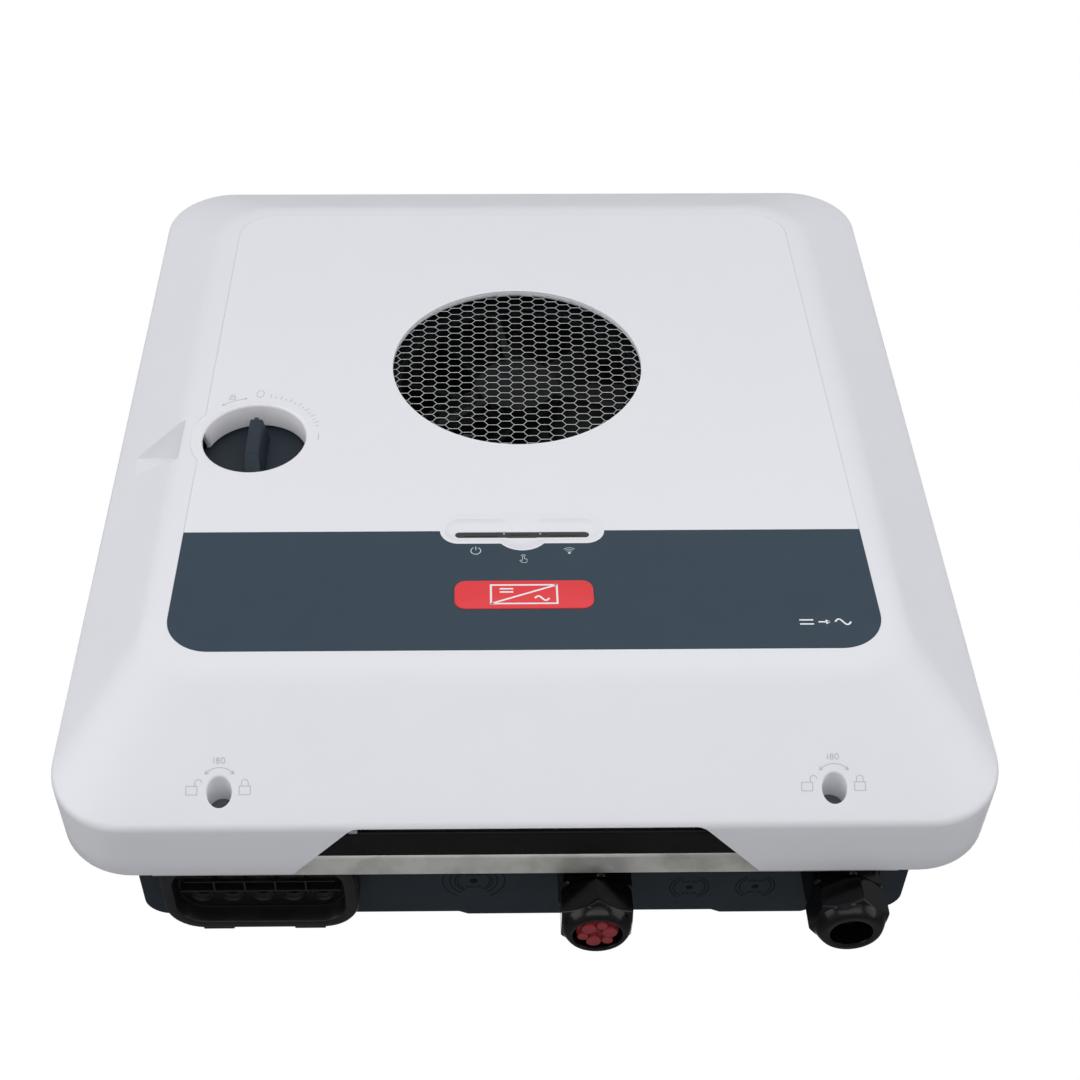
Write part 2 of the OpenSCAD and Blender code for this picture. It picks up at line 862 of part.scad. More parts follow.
module latch_left() {
    latch(-1);
}

module latch_right() {
    latch(1);
}

wall_bracket();
hanger_rail();
wall_buffers();
rear_housing();
housing_gasket();
chassis_plate();
plate_screws();
heat_sink();
fan_duct();
fan_frame();
fan_rotor();
inner_cover();
inner_cover_screws();
power_board();
board_standoffs();
power_modules();
bulk_capacitors();
film_capacitors();
boost_chokes();
output_choke();
line_filter();
relays();
control_board();
radio_module();
status_board();
light_guide();
disconnector_body();
disconnector_shaft();
disconnector_knob();
connection_tray();
tray_gasket();
comms_board();
data_terminals();
network_sockets();
dc_terminals();
ac_terminals();
ground_bar();
dc_entry_frame();
dc_entry_insert();
dc_entry_seals();
gland_bodies();
gland_locknuts();
gland_nuts();
gland_seals();
plug_insert();
hinge_brackets();
latch_sockets();
front_cover();
front_film();
band_film();
light_bar_frame();
light_window();
grille_mesh();
grille_ring();
grille_screws();
badge();
latch_left();
latch_right();
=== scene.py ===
"""A wall-hung string inverter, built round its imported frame. Lengths in the code are millimetres."""
import math

import bmesh
import bpy
from mathutils import Matrix, Vector


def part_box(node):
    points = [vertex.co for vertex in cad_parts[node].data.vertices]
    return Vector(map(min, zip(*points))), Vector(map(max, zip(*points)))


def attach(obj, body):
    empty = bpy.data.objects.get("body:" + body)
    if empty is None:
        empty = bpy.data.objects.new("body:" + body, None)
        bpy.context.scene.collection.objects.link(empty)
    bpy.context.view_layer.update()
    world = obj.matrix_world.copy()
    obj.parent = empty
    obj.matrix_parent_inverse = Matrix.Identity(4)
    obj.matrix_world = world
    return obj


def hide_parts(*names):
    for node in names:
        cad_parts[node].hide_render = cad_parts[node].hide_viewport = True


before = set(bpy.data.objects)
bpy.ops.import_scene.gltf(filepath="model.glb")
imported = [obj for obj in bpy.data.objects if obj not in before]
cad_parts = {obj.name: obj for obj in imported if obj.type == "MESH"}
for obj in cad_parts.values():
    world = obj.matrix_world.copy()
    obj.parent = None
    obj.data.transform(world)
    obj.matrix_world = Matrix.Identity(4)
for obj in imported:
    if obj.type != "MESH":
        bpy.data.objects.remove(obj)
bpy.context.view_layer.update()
MM = 0.001

# ---- places, from the frame


def span(node):
    """A CAD node's lowest and highest corner, in millimetres."""
    low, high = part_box(node)
    return Vector(low) / MM, Vector(high) / MM


def centre(node):
    low, high = span(node)
    return (low + high) / 2


COVER_LOW, COVER_HIGH = span("front_cover")
FILM_LOW, FILM_HIGH = span("band_film")
WHITE_HIGH = span("front_film")[1]
GRILLE = centre("grille_mesh")
KNOB_LOW, KNOB_HIGH = span("disconnector_knob")
KNOB = centre("disconnector_shaft")
FACE_Y = COVER_LOW.y
LIP_Y = COVER_HIGH.y
COVER_W = COVER_HIGH.x - COVER_LOW.x
COVER_H = COVER_HIGH.z - COVER_LOW.z
WALL = 2.6

# The cover's form: the outline, the crease where the slopes begin, and the flat face
COVER_R = 41
CREASE_LOW = 119.5
CREASE_HIGH = 143
FACE_W = 383.5
FACE_BOTTOM = -203
FACE_TOP = 212
FACE_R = 34
EDGE_SOFT = 3.2
FACE_SOFT = 9

# Openings in the cover, and the white and dark films on it
FAN_R = 74.5
FAN_LIP = 1.4
FAN_LIP_DEEP = 2.6
WELL_R = 29.3
WELL_LIP = 2.2
WELL_DEPTH = 16.5
FILM_R = 23
FILM_GAP = 0.15
FILM_T = 0.5
BULGE_R = 36
LOCK_R = 6.1
LOCK_LIP = 0.7
LOCK_FLOOR = -111.7

# The light bar: a rounded bar with a round belly below; the cover is cut a little inside its edge
BAR_Z = -103.2
BAR_HALF = 33.8
BAR_TALL = 1.5
BAR_R = 10
BELLY_Z = -105
BELLY_R = 15
BAR_LAP = 0.6

# The cover's hooks and the rods they turn on
HINGE_X = 150
HINGE_Y = -100
HINGE_Z = 247
ROD_R = 2.05

# Cable glands: the nuts' dome rises from the mouth, then a chamfer runs out into the hexagon
GLAND_FLATS = 36
GLAND_TURNS = (30, 42)
GLAND_MOUTHS = (12.4, 10.6)
DOME_START_R = 14.65
DOME_GROWTH = 6.2
DOME_H = 14
DOME_POWER = 1.35
CHAMFER_START = 5.2
CHAMFER_SLOPE = 1.1
CORNER_SOFT = 0.5
PLUG_FORWARD = 6.6

# The cable entry on the left: its back edge, and the middles of the two tabs behind it
ENTRY_BACK = -16.5
ENTRY_TABS = (-162.2, -113.8)

# The studio: the ambient light's strength in front and behind, and the soft lamps
AMBIENT_FRONT = 0.86
AMBIENT_BACK = 0.13
LIGHTS = [
    ("key_front", (0.5, -2.6, 0.9), (2.6, 2.2), 6.0),
    ("fill_left", (-2.4, -1.1, -0.5), (1.6, 1.6), 19.0),
    ("fill_right", (2.4, -1.1, -0.5), (1.6, 1.6), 14.0),
    ("low_glow", (0.0, -1.6, -1.32), (2.6, 0.9), 18.5),
    ("rim_back", (0.6, 2.2, 1.6), (2.0, 1.6), 16.0),
]

# The camera, in metres, a little below the inverter and looking up at its front
CAMERA_PLACE = (-0.0207, -0.7589, -0.7272)
CAMERA_FORWARD = (0.0103, 0.6946, 0.7193)
CAMERA_UP = (0.0053, -0.7194, 0.6946)
CAMERA_LENS = 53.58
CAMERA_SHIFT = 0.037

# ---- mesh helpers


def new_object(name, verts, faces, smooth_angle=32):
    """A mesh object from millimetre coordinates, smooth shaded, with edges sharper than the angle kept."""
    mesh = bpy.data.meshes.new(name)
    mesh.from_pydata([[c * MM for c in v] for v in verts], [], faces)
    obj = bpy.data.objects.new(name, mesh)
    bpy.context.scene.collection.objects.link(obj)
    tidy_normals(obj, smooth_angle)
    return obj


def tidy_normals(obj, smooth_angle):
    mesh = obj.data
    work = bmesh.new()
    work.from_mesh(mesh)
    bmesh.ops.recalc_face_normals(work, faces=work.faces)
    work.to_mesh(mesh)
    work.free()
    mesh.shade_smooth()
    mesh.set_sharp_from_angle(angle=math.radians(smooth_angle))


def bake_modifiers(obj):
    graph = bpy.context.evaluated_depsgraph_get()
    baked = bpy.data.meshes.new_from_object(obj.evaluated_get(graph))
    obj.modifiers.clear()
    obj.data = baked


def cut(obj, *cutters):
    for cutter in cutters:
        merge(obj, cutter, "DIFFERENCE")


def soften(obj, width, segments=2, angle=30):
    mod = obj.modifiers.new("soft_edges", "BEVEL")
    mod.width = width * MM
    mod.segments = segments
    mod.limit_method = "ANGLE"
    mod.angle_limit = math.radians(angle)
    bake_modifiers(obj)


def object_from(work, name):
    """Turns a finished bmesh into an object in the scene."""
    mesh = bpy.data.meshes.new(name)
    work.to_mesh(mesh)
    work.free()
    obj = bpy.data.objects.new(name, mesh)
    bpy.context.scene.collection.objects.link(obj)
    return obj


def join(name, parts):
    """One object from several, without operators."""
    work = bmesh.new()
    for part in parts:
        part.data.transform(part.matrix_world)
        work.from_mesh(part.data)
        bpy.data.objects.remove(part)
    return object_from(work, name)


def outline(w, h, r, cx=0, cz=0, per_corner=14, per_side=20):
    """Points round a rounded rectangle, the same number whatever its size."""
    points = []
    corners = [(1, -1, -90), (1, 1, 0), (-1, 1, 90), (-1, -1, 180)]
    for k, (sx, sz, start) in enumerate(corners):
        ax, az = cx + sx * (w / 2 - r), cz + sz * (h / 2 - r)
        for i in range(per_corner + 1):
            a = math.radians(start + 90 * i / per_corner)
            points.append((ax + r * math.cos(a), az + r * math.sin(a)))
        nx, nz, nstart = corners[(k + 1) % 4]
        b = math.radians(nstart)
        end = (cx + nx * (w / 2 - r) + r * math.cos(b), cz + nz * (h / 2 - r) + r * math.sin(b))
        last = points[-1]
        for i in range(1, per_side):
            f = i / per_side
            points.append((last[0] + (end[0] - last[0]) * f, last[1] + (end[1] - last[1]) * f))
    return points


def loft(name, rings, cap_first=True, cap_last=True, smooth_angle=32):
    """A skin over rings that all have the same number of points."""
    n = len(rings[0])
    verts = [p for ring in rings for p in ring]
    faces = []
    for k in range(len(rings) - 1):
        for i in range(n):
            j = (i + 1) % n
            faces.append((k * n + i, k * n + j, (k + 1) * n + j, (k + 1) * n + i))
    if cap_first:
        faces.append(tuple(range(n)))
    if cap_last:
        faces.append(tuple((len(rings) - 1) * n + i for i in range(n)))
    return new_object(name, verts, faces, smooth_angle)


def prism_y(name, points, y0, y1):
    return loft(name, [[(x, y, z) for x, z in points] for y in (y0, y1)])


def prism_z(name, points, z0, z1):
    return loft(name, [[(x, y, z) for x, y in points] for z in (z0, z1)])


def prism_x(name, points, x0, x1):
    return loft(name, [[(x, y, z) for y, z in points] for x in (x0, x1)])


def merge(obj, other, operation):
    """Boolean with another solid, which is then dropped."""
    mod = obj.modifiers.new("merge", "BOOLEAN")
    mod.object = other
    mod.operation = operation
    mod.solver = "EXACT"
    bake_modifiers(obj)
    bpy.data.objects.remove(other)


def lathe(name, profile, x, b, axis="y", steps=96, closed=True):
    """A profile of (radius, place along the axis) turned about an axis through (x, b)."""
    verts = []
    for i in range(steps):
        a = 2 * math.pi * i / steps
        c, s = math.cos(a), math.sin(a)
        for r, d in profile:
            verts.append((x + r * c, d, b + r * s) if axis == "y" else (x + r * c, b + r * s, d))
    m = len(profile)
    faces = []
    for i in range(steps):
        j = (i + 1) % steps
        for k in range(m if closed else m - 1):
            q = (k + 1) % m
            if profile[k][0] < 1e-6 and profile[q][0] < 1e-6:
                continue
            faces.append((i * m + k, i * m + q, j * m + q, j * m + k))
    obj = new_object(name, verts, faces)
    work = bmesh.new()
    work.from_mesh(obj.data)
    bmesh.ops.remove_doubles(work, verts=work.verts, dist=1e-6)
    work.to_mesh(obj.data)
    work.free()
    tidy_normals(obj, 32)
    return obj


def arc(cx, cy, r, a0, a1, steps=8):
    """Points on an arc, angles in degrees."""
    return [(cx + r * math.cos(math.radians(a0 + (a1 - a0) * i / steps)),
             cy + r * math.sin(math.radians(a0 + (a1 - a0) * i / steps))) for i in range(steps + 1)]


def circle_points(cx, cy, r, steps=24):
    return arc(cx, cy, r, 0, 360 - 360 / steps, steps - 1)


def level_ring(x, y, z, radius, steps):
    """A ring at one height round (x, y), its radius a function of the angle."""
    angles = [2 * math.pi * i / steps for i in range(steps)]
    return [(x + radius(a) * math.cos(a), y + radius(a) * math.sin(a), z) for a in angles]


def cylinder_y(name, x, z, r, y0, y1, steps=96):
    return prism_y(name, circle_points(x, z, r, steps), y0, y1)


def block(name, low, high, soft=0.0):
    points = [(low[0], low[2]), (high[0], low[2]), (high[0], high[2]), (low[0], high[2])]
    obj = prism_y(name, points, low[1], high[1])
    if soft:
        soften(obj, soft)
    return obj


class Plane:
    """A flat place to draw on: an origin, two directions, and the way that faces out."""

    def __init__(self, origin, right, up):
        self.origin = Vector(origin)
        self.right = Vector(right).normalized()
        self.up = Vector(up).normalized()
        self.out = self.right.cross(self.up).normalized()

    def at(self, u, v, lift):
        return self.origin + self.right * u + self.up * v + self.out * lift


STROKE_SINK = 0.1


def ribbon(verts, faces, plane, points, width, lift, closed):
    """Adds a raised stroke along the points to the lists: a top, and walls down to the surface."""
    n = len(points)
    pts = [Vector(p) for p in points]
    base = len(verts)
    for i, p in enumerate(pts):
        before = pts[(i - 1) % n] if closed or i else None
        after = pts[(i + 1) % n] if closed or i < n - 1 else None
        d1 = (p - before).normalized() if before is not None else (after - p).normalized()
        d2 = (after - p).normalized() if after is not None else d1
        mid = d1 + d2
        mid = mid.normalized() if mid.length > 1e-6 else d1
        normal = Vector((-mid.y, mid.x))
        stretch = 1 / max(0.5, math.cos(d1.angle(d2) / 2)) if d1.length and d2.length else 1
        off = normal * width / 2 * stretch
        for q in (p + off, p - off):
            verts.append(plane.at(q.x, q.y, lift))
        for q in (p + off * 1.25, p - off * 1.25):
            verts.append(plane.at(q.x, q.y, -STROKE_SINK))
    count = n if closed else n - 1
    for i in range(count):
        a, b = base + 4 * i, base + 4 * ((i + 1) % n)
        faces.append((a, a + 1, b + 1, b))
        faces.append((a + 2, a, b, b + 2))
        faces.append((a + 1, a + 3, b + 3, b + 1))
    if not closed:
        for a, flip in ((base, False), (base + 4 * (n - 1), True)):
            face = (a, a + 2, a + 3, a + 1)
            faces.append(face[::-1] if flip else face)


def strokes(name, plane, lines, width, lift):
    """A piece made of strokes: each line is (points, closed)."""
    verts, faces = [], []
    for points, closed in lines:
        ribbon(verts, faces, plane, points, width, lift, closed)
    return new_object(name, verts, faces, 20)


def arrow(x, y, heading, size):
    """Two short strokes that make an arrowhead at (x, y)."""
    out = []
    for side in (150, -150):
        a = math.radians(heading + side)
        out.append(([(x, y), (x + size * math.cos(a), y + size * math.sin(a))], False))
    return out


def padlock(cx, cy, s, is_open):
    """A closed or open padlock, s high."""
    body = [(cx - 0.36 * s, cy - 0.5 * s), (cx + 0.36 * s, cy - 0.5 * s),
            (cx + 0.36 * s, cy + 0.06 * s), (cx - 0.36 * s, cy + 0.06 * s)]
    dx = 0.44 * s if is_open else 0
    shackle = [(cx - 0.22 * s + dx, cy + 0.06 * s)] + arc(cx + dx, cy + 0.28 * s, 0.22 * s, 180, 0, 8)
    if not is_open:
        shackle.append((cx + 0.22 * s, cy + 0.06 * s))
    return [(body, True), (shackle, False)]


# ---- materials


def add_node(tree, kind, **values):
    """A shader node with its inputs or its own settings given by name."""
    item = tree.nodes.new(kind)
    for key, value in values.items():
        if key in item.inputs:
            item.inputs[key].default_value = value
        else:
            setattr(item, key, value)
    return item


def add_range(tree, value, low, high, a, b):
    """Maps a value from one range to another, clamped."""
    item = add_node(tree, "ShaderNodeMapRange")
    tree.links.new(value, item.inputs["Value"])
    for key, number in (("From Min", low), ("From Max", high), ("To Min", a), ("To Max", b)):
        item.inputs[key].default_value = number
    return item.outputs["Result"]


class Surface:
    """A procedural material: colour mottling, roughness variation, fine bump and worn edges."""

    def __init__(self, name, colour, rough, metallic=0.0, spec=0.5, coat=0.0):
        self.material = bpy.data.materials.new(name)
        self.material.use_nodes = True
        self.tree = self.material.node_tree
        self.shader = self.tree.nodes["Principled BSDF"]
        self.coords = self.add("ShaderNodeTexCoord").outputs["Object"]
        self.colour = self.rgb(colour)
        self.rough = rough
        self.bump = None
        self.shader.inputs["Metallic"].default_value = metallic
        self.shader.inputs["Specular IOR Level"].default_value = spec
        if coat:
            self.shader.inputs["Coat Weight"].default_value = coat
            self.shader.inputs["Coat Roughness"].default_value = 0.25
        self.link(self.colour, self.shader.inputs["Base Color"])

    def add(self, kind, **values):
        return add_node(self.tree, kind, **values)

    def link(self, a, b):
        self.tree.links.new(a, b)

    def rgb(self, colour):
        item = self.add("ShaderNodeRGB")
        item.outputs[0].default_value = (*colour, 1)
        return item.outputs[0]

    def noise(self, scale, detail=4.0, stretch=None):
        item = self.add("ShaderNodeTexNoise", Scale=scale, Detail=detail, Roughness=0.55)
        vector = self.coords
        if stretch:
            mapping = self.add("ShaderNodeMapping", Scale=stretch)
            self.link(self.coords, mapping.inputs["Vector"])
            vector = mapping.outputs["Vector"]
        self.link(vector, item.inputs["Vector"])
        return item.outputs["Fac"]

    def cells(self, scale):
        item = self.add("ShaderNodeTexVoronoi", Scale=scale)
        self.link(self.coords, item.inputs["Vector"])
        return item

    def ramp(self, value, low, high, a, b):
        return add_range(self.tree, value, low, high, a, b)

    def mix(self, factor, colour):
        item = self.add("ShaderNodeMix", data_type="RGBA")
        self.link(factor, item.inputs["Factor"])
        self.link(self.colour, item.inputs[6])
        item.inputs[7].default_value = (*colour, 1)
        self.colour = item.outputs[2]
        self.link(self.colour, self.shader.inputs["Base Color"])

    def mottle(self, scale, colour, amount, low=0.4, high=0.7, stretch=None):
        self.mix(self.ramp(self.noise(scale, stretch=stretch), low, high, 0, amount), colour)

    def roughness(self, scale, swing):
        value = self.ramp(self.noise(scale), 0.3, 0.7, self.rough - swing, self.rough + swing)
        self.link(value, self.shader.inputs["Roughness"])

    def grain(self, scale, depth, strength=0.5, detail=3.0, source=None):
        item = self.add("ShaderNodeBump", Strength=strength, Distance=depth * MM)
        self.link(source if source is not None else self.noise(scale, detail), item.inputs["Height"])
        if self.bump is not None:
            self.link(self.bump, item.inputs["Normal"])
        self.bump = item.outputs["Normal"]
        self.link(self.bump, self.shader.inputs["Normal"])

    def wear(self, colour, amount):
        geometry = self.add("ShaderNodeNewGeometry")
        edge = self.ramp(geometry.outputs["Pointiness"], 0.52, 0.6, 0, 1)
        product = self.add("ShaderNodeMath", operation="MULTIPLY")
        self.link(edge, product.inputs[0])
        self.link(self.ramp(self.noise(180), 0.35, 0.65, 0, amount), product.inputs[1])
        self.mix(product.outputs[0], colour)


def moulded(name, colour, rough, depth, grain, mottle, coat=0.0, edge=None, spec=0.5):
    """Moulded plastic: a colour, its roughness, the grain's depth and scale, and how mottled it is."""
    s = Surface(name, colour, rough, spec=spec, coat=coat)
    darker = tuple(c * 0.86 for c in colour)
    lighter = tuple(min(1, c * 1.10 + 0.004) for c in colour)
    s.mottle(9, darker, mottle)
    s.mottle(45, lighter, mottle * 0.7)
    s.roughness(60, 0.06)
    s.grain(grain, depth, 0.35)
    s.grain(14, 0.15, 0.05, 1.0)
    if edge:
        s.wear(edge, 0.35)
    return s.material


def galvanised(name, colour):
    s = Surface(name, colour, 0.52, metallic=0.85)
    spangle = s.cells(55)
    s.mix(s.ramp(spangle.outputs["Color"], 0.2, 0.9, 0, 0.35), tuple(c * 0.72 for c in colour))
    s.mottle(26, (0.30, 0.285, 0.235), 0.6, 0.42, 0.66, (1.0, 1.0, 2.2))
    s.mottle(120, (0.66, 0.66, 0.62), 0.3, 0.5, 0.75)
    s.roughness(70, 0.10)
    s.grain(900, 0.02, 0.3)
    s.wear((0.85, 0.85, 0.84), 0.5)
    return s.material


def metal(name, colour, rough, scratch=0.25):
    s = Surface(name, colour, rough, metallic=1.0)
    s.mottle(60, tuple(c * 0.72 for c in colour), scratch, 0.4, 0.7, (1, 1, 6))
    s.mottle(600, tuple(min(1, c * 1.2) for c in colour), scratch, 0.5, 0.75)
    s.roughness(200, 0.08)
    s.grain(1500, 0.01, 0.25)
    return s.material


def circuit(name):
    s = Surface(name, (0.012, 0.110, 0.040), 0.34, coat=0.2)
    brick = s.add("ShaderNodeTexBrick", Scale=95.0)
    s.link(s.coords, brick.inputs["Vector"])
    for key, number in (("Mortar Size", 0.06), ("Brick Width", 0.9), ("Row Height", 0.35)):
        brick.inputs[key].default_value = number
    s.mix(s.ramp(brick.outputs["Fac"], 0.2, 0.8, 0, 0.8), (0.030, 0.210, 0.080))
    pads = s.cells(160)
    s.mix(s.ramp(pads.outputs["Distance"], 0.10, 0.06, 0, 1), (0.55, 0.50, 0.36))
    s.roughness(120, 0.08)
    s.grain(400, 0.02, 0.3)
    return s.material


def winding(name):
    s = Surface(name, (0.36, 0.115, 0.035), 0.3, metallic=0.35, coat=0.3)
    wave = s.add("ShaderNodeTexWave", Scale=160.0, Distortion=1.5)
    wave.inputs["Detail"].default_value = 1.0
    s.link(s.coords, wave.inputs["Vector"])
    s.mix(s.ramp(wave.outputs["Fac"], 0.2, 0.6, 0.7, 0), (0.05, 0.014, 0.006))
    s.roughness(90, 0.07)
    s.grain(0, 0.5, 0.5, source=wave.outputs["Fac"])
    return s.material


WEAR = (0.03, 0.03, 0.034)
MATERIALS = {
    "cover": moulded("cover_white", (0.755, 0.760, 0.800), 0.46, 0.012, 2400, 0.05),
    "film": moulded("film_white", (0.765, 0.770, 0.805), 0.42, 0.008, 3200, 0.04),
    # painted light: the well's white is brighter than the cover's, standing in for light bounced round inside
    # the well
    "inside": moulded("well_white_painted_bounce_light", (0.86, 0.86, 0.90), 0.46, 0.012, 2400, 0.04),
    # painted shade: the white moulded marks are coloured grey to stand in for the shade along their raised
    # edges
    "marks_painted_shade": moulded("moulded_marks_painted_shade_grey", (0.50, 0.50, 0.54), 0.5, 0.008, 2400, 0.06),
    "band": moulded("band_slate", (0.024, 0.046, 0.068), 0.42, 0.008, 3200, 0.12, spec=0.3),
    "print": moulded("print_white", (0.80, 0.81, 0.83), 0.45, 0.004, 3000, 0.05),
    "icon": moulded("icon_grey", (0.58, 0.60, 0.62), 0.45, 0.004, 3000, 0.05),
    "badge": moulded("badge_red", (0.74, 0.020, 0.028), 0.34, 0.004, 2500, 0.08, coat=0.2),
    "window": moulded("window_black", (0.006, 0.007, 0.009), 0.16, 0.003, 900, 0.2, coat=0.3),
    "knob": moulded("knob_slate", (0.020, 0.029, 0.040), 0.46, 0.02, 2200, 0.14, edge=(0.07, 0.09, 0.11),
                    spec=0.2),
    "housing": moulded("housing_slate", (0.0175, 0.0255, 0.0330), 0.52, 0.05, 1500, 0.16,
                       edge=(0.045, 0.055, 0.065), spec=0.16),
    "black": moulded("black_satin", (0.007, 0.0075, 0.0085), 0.46, 0.03, 1800, 0.2, edge=WEAR, spec=0.2),
    "bezel": moulded("black_bezel", (0.0040, 0.0043, 0.0052), 0.36, 0.03, 1600, 0.2, edge=WEAR, spec=0.25),
    "gloss": moulded("black_gloss", (0.0016, 0.0017, 0.0023), 0.2, 0.02, 700, 0.2, spec=0.22),
    "rubber": moulded("seal_rubber", (0.0085, 0.0085, 0.0092), 0.52, 0.06, 1400, 0.25, spec=0.22),
    "tray": moulded("tray_black", (0.0055, 0.0056, 0.0058), 0.62, 0.05, 1500, 0.2, edge=(0.02, 0.02, 0.022),
                    spec=0.12),
    "fan": moulded("fan_black", (0.0032, 0.0034, 0.0038), 0.5, 0.02, 1600, 0.2, spec=0.15),
    "mark": moulded("moulded_mark", (0.003, 0.0035, 0.004), 0.6, 0.01, 1400, 0.2, spec=0.1),
    "plug": moulded("plug_red", (0.26, 0.026, 0.032), 0.5, 0.05, 1200, 0.25, spec=0.4),
    "natural": moulded("polyamide_natural", (0.62, 0.59, 0.50), 0.5, 0.02, 1500, 0.15),
    "guide": moulded("light_guide", (0.62, 0.66, 0.68), 0.2, 0.01, 900, 0.1, coat=0.4),
    "orange": moulded("terminal_orange", (0.62, 0.16, 0.035), 0.45, 0.02, 1500, 0.15),
    "grey": moulded("terminal_grey", (0.36, 0.38, 0.40), 0.48, 0.02, 1500, 0.12),
    "green": moulded("terminal_green", (0.05, 0.27, 0.08), 0.45, 0.02, 1500, 0.15),
    "sleeve": moulded("capacitor_sleeve", (0.018, 0.032, 0.062), 0.3, 0.02, 500, 0.2, coat=0.3),
    "potting": moulded("film_case", (0.40, 0.34, 0.11), 0.5, 0.05, 900, 0.2),
    "galvanised": galvanised("galvanised_steel", (0.80, 0.80, 0.755)),
    "steel": metal("zinc_plated", (0.62, 0.63, 0.64), 0.3),
    # painted shade: the latch heads' steel is given a dark grey to stand in for the shade deep inside the
    # lock holes
    "latch": metal("steel_darkened_painted_shade", (0.17, 0.175, 0.19), 0.5),
    "mesh": metal("bright_mesh", (0.60, 0.62, 0.63), 0.42, 0.12),
    "aluminium": metal("extruded_aluminium", (0.62, 0.63, 0.64), 0.42, 0.3),
    "cast": metal("cast_aluminium", (0.25, 0.26, 0.27), 0.55, 0.3),
    "brass": metal("brass", (0.58, 0.40, 0.17), 0.32, 0.3),
    "board": circuit("circuit_board"),
    "winding": winding("copper_winding"),
}


def paint(obj, key):
    obj.data.materials.clear()
    obj.data.materials.append(MATERIALS[key])


def finish_piece(obj, key, body, *replaced):
    """Paints a piece, puts it on a body, and has it stand for the CAD nodes named."""
    paint(obj, key)
    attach(obj, body)
    if replaced:
        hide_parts(*replaced)


# ---- carried-over CAD nodes

NODE_LOOKS = {
    "wall_bracket": ("galvanised", 0.3), "hanger_rail": ("galvanised", 0.3), "wall_buffers": ("rubber", 0.8),
    "rear_housing": ("housing", 1.0), "housing_gasket": ("rubber", 0), "chassis_plate": ("galvanised", 0.3),
    "plate_screws": ("steel", 0.4), "heat_sink": ("aluminium", 0), "fan_duct": ("black", 0.3),
    "fan_frame": ("tray", 0.6), "fan_rotor": ("fan", 0.5), "inner_cover": ("black", 0.7),
    "inner_cover_screws": ("steel", 0.4), "power_board": ("board", 0), "board_standoffs": ("brass", 0),
    "power_modules": ("black", 0.4), "bulk_capacitors": ("sleeve", 0.8), "film_capacitors": ("potting", 0.8),
    "boost_chokes": ("cast", 1.5), "output_choke": ("winding", 0), "line_filter": ("winding", 0),
    "relays": ("black", 0.5), "control_board": ("board", 0), "radio_module": ("board", 0),
    "status_board": ("board", 0), "light_guide": ("guide", 0.3), "disconnector_body": ("black", 0.8),
    "disconnector_shaft": ("steel", 0.3), "connection_tray": ("tray", 0.4), "tray_gasket": ("rubber", 0.3),
    "comms_board": ("board", 0), "data_terminals": ("green", 0.3), "network_sockets": ("steel", 0.3),
    "dc_terminals": ("orange", 0.5), "ac_terminals": ("grey", 0.5), "ground_bar": ("brass", 0.3),
    "dc_entry_insert": ("bezel", 0.3), "gland_locknuts": ("black", 0.5),
    "hinge_brackets": ("galvanised", 0.2),
    "latch_sockets": ("natural", 0.4), "front_film": ("film", 0), "band_film": ("band", 0),
    # the latches take the steel darkened as painted shade
    "grille_ring": ("cover", 0.3), "grille_screws": ("steel", 0.2), "latch_left": ("latch", 0.4),
    "latch_right": ("latch", 0.4),
}


def dress_nodes():
    for node, (key, soft) in NODE_LOOKS.items():
        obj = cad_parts[node]
        paint(obj, key)
        if soft:
            weld = obj.modifiers.new("weld", "WELD")
            weld.merge_threshold = 0.01 * MM
            bevel = obj.modifiers.new("soft_edges", "BEVEL")
            bevel.width = soft * MM
            bevel.segments = 2
            bevel.limit_method = "ANGLE"
            bevel.angle_limit = math.radians(35)
            bevel.harden_normals = True


# ---- front cover


def crease_y(z):
    share = (z - COVER_LOW.z) / COVER_H
    return -(CREASE_LOW + (CREASE_HIGH - CREASE_LOW) * share)


def bend(a, b, c, steps):
    """Points along the curve that leaves a towards b and arrives at c from b."""
    out = []
    for i in range(steps + 1):
        t = i / steps
        out.append(a * (1 - t) ** 2 + b * (2 * t * (1 - t)) + c * t ** 2)
    return out


def cover_rings(inset, edge_soft, face_soft):
    """The cover's section at each point of its outline, from the lip to the flat face."""
    mid = (FACE_BOTTOM + FACE_TOP) / 2
    tall = FACE_TOP - FACE_BOTTOM
    shrink = 0.4 * inset
    rim = outline(COVER_W - 2 * inset, COVER_H - 2 * inset, COVER_R - inset)
    face = outline(FACE_W - 2 * shrink, tall - 2 * shrink, FACE_R - shrink, 0, mid)
    flat = outline(FACE_W - 2 * shrink - 2 * face_soft, tall - 2 * shrink - 2 * face_soft,
                   FACE_R - shrink - face_soft, 0, mid)
    y_face = FACE_Y + inset
    columns = []
    for (ox, oz), (px, pz), (qx, qz) in zip(rim, face, flat):
        crease = Vector((ox, crease_y(oz) + shrink, oz))
        top = Vector((px, y_face, pz))
        down = (top - crease).normalized()
        low = Vector((ox, crease.y + edge_soft, oz))
        start = Vector((ox, LIP_Y - 0.8, oz))
        column = [start.lerp(low, f) for f in (0, 0.35, 0.7)]
        column += bend(low, crease, crease + down * edge_soft, 6)
        a, b = crease + down * edge_soft, top - down * face_soft
        column += [a.lerp(b, f) for f in (0.25, 0.5, 0.75)]
        column += bend(b, top, Vector((qx, y_face, qz)), 8)
        columns.append(column)
    return [[tuple(c[k]) for c in columns] for k in range(len(columns[0]))]


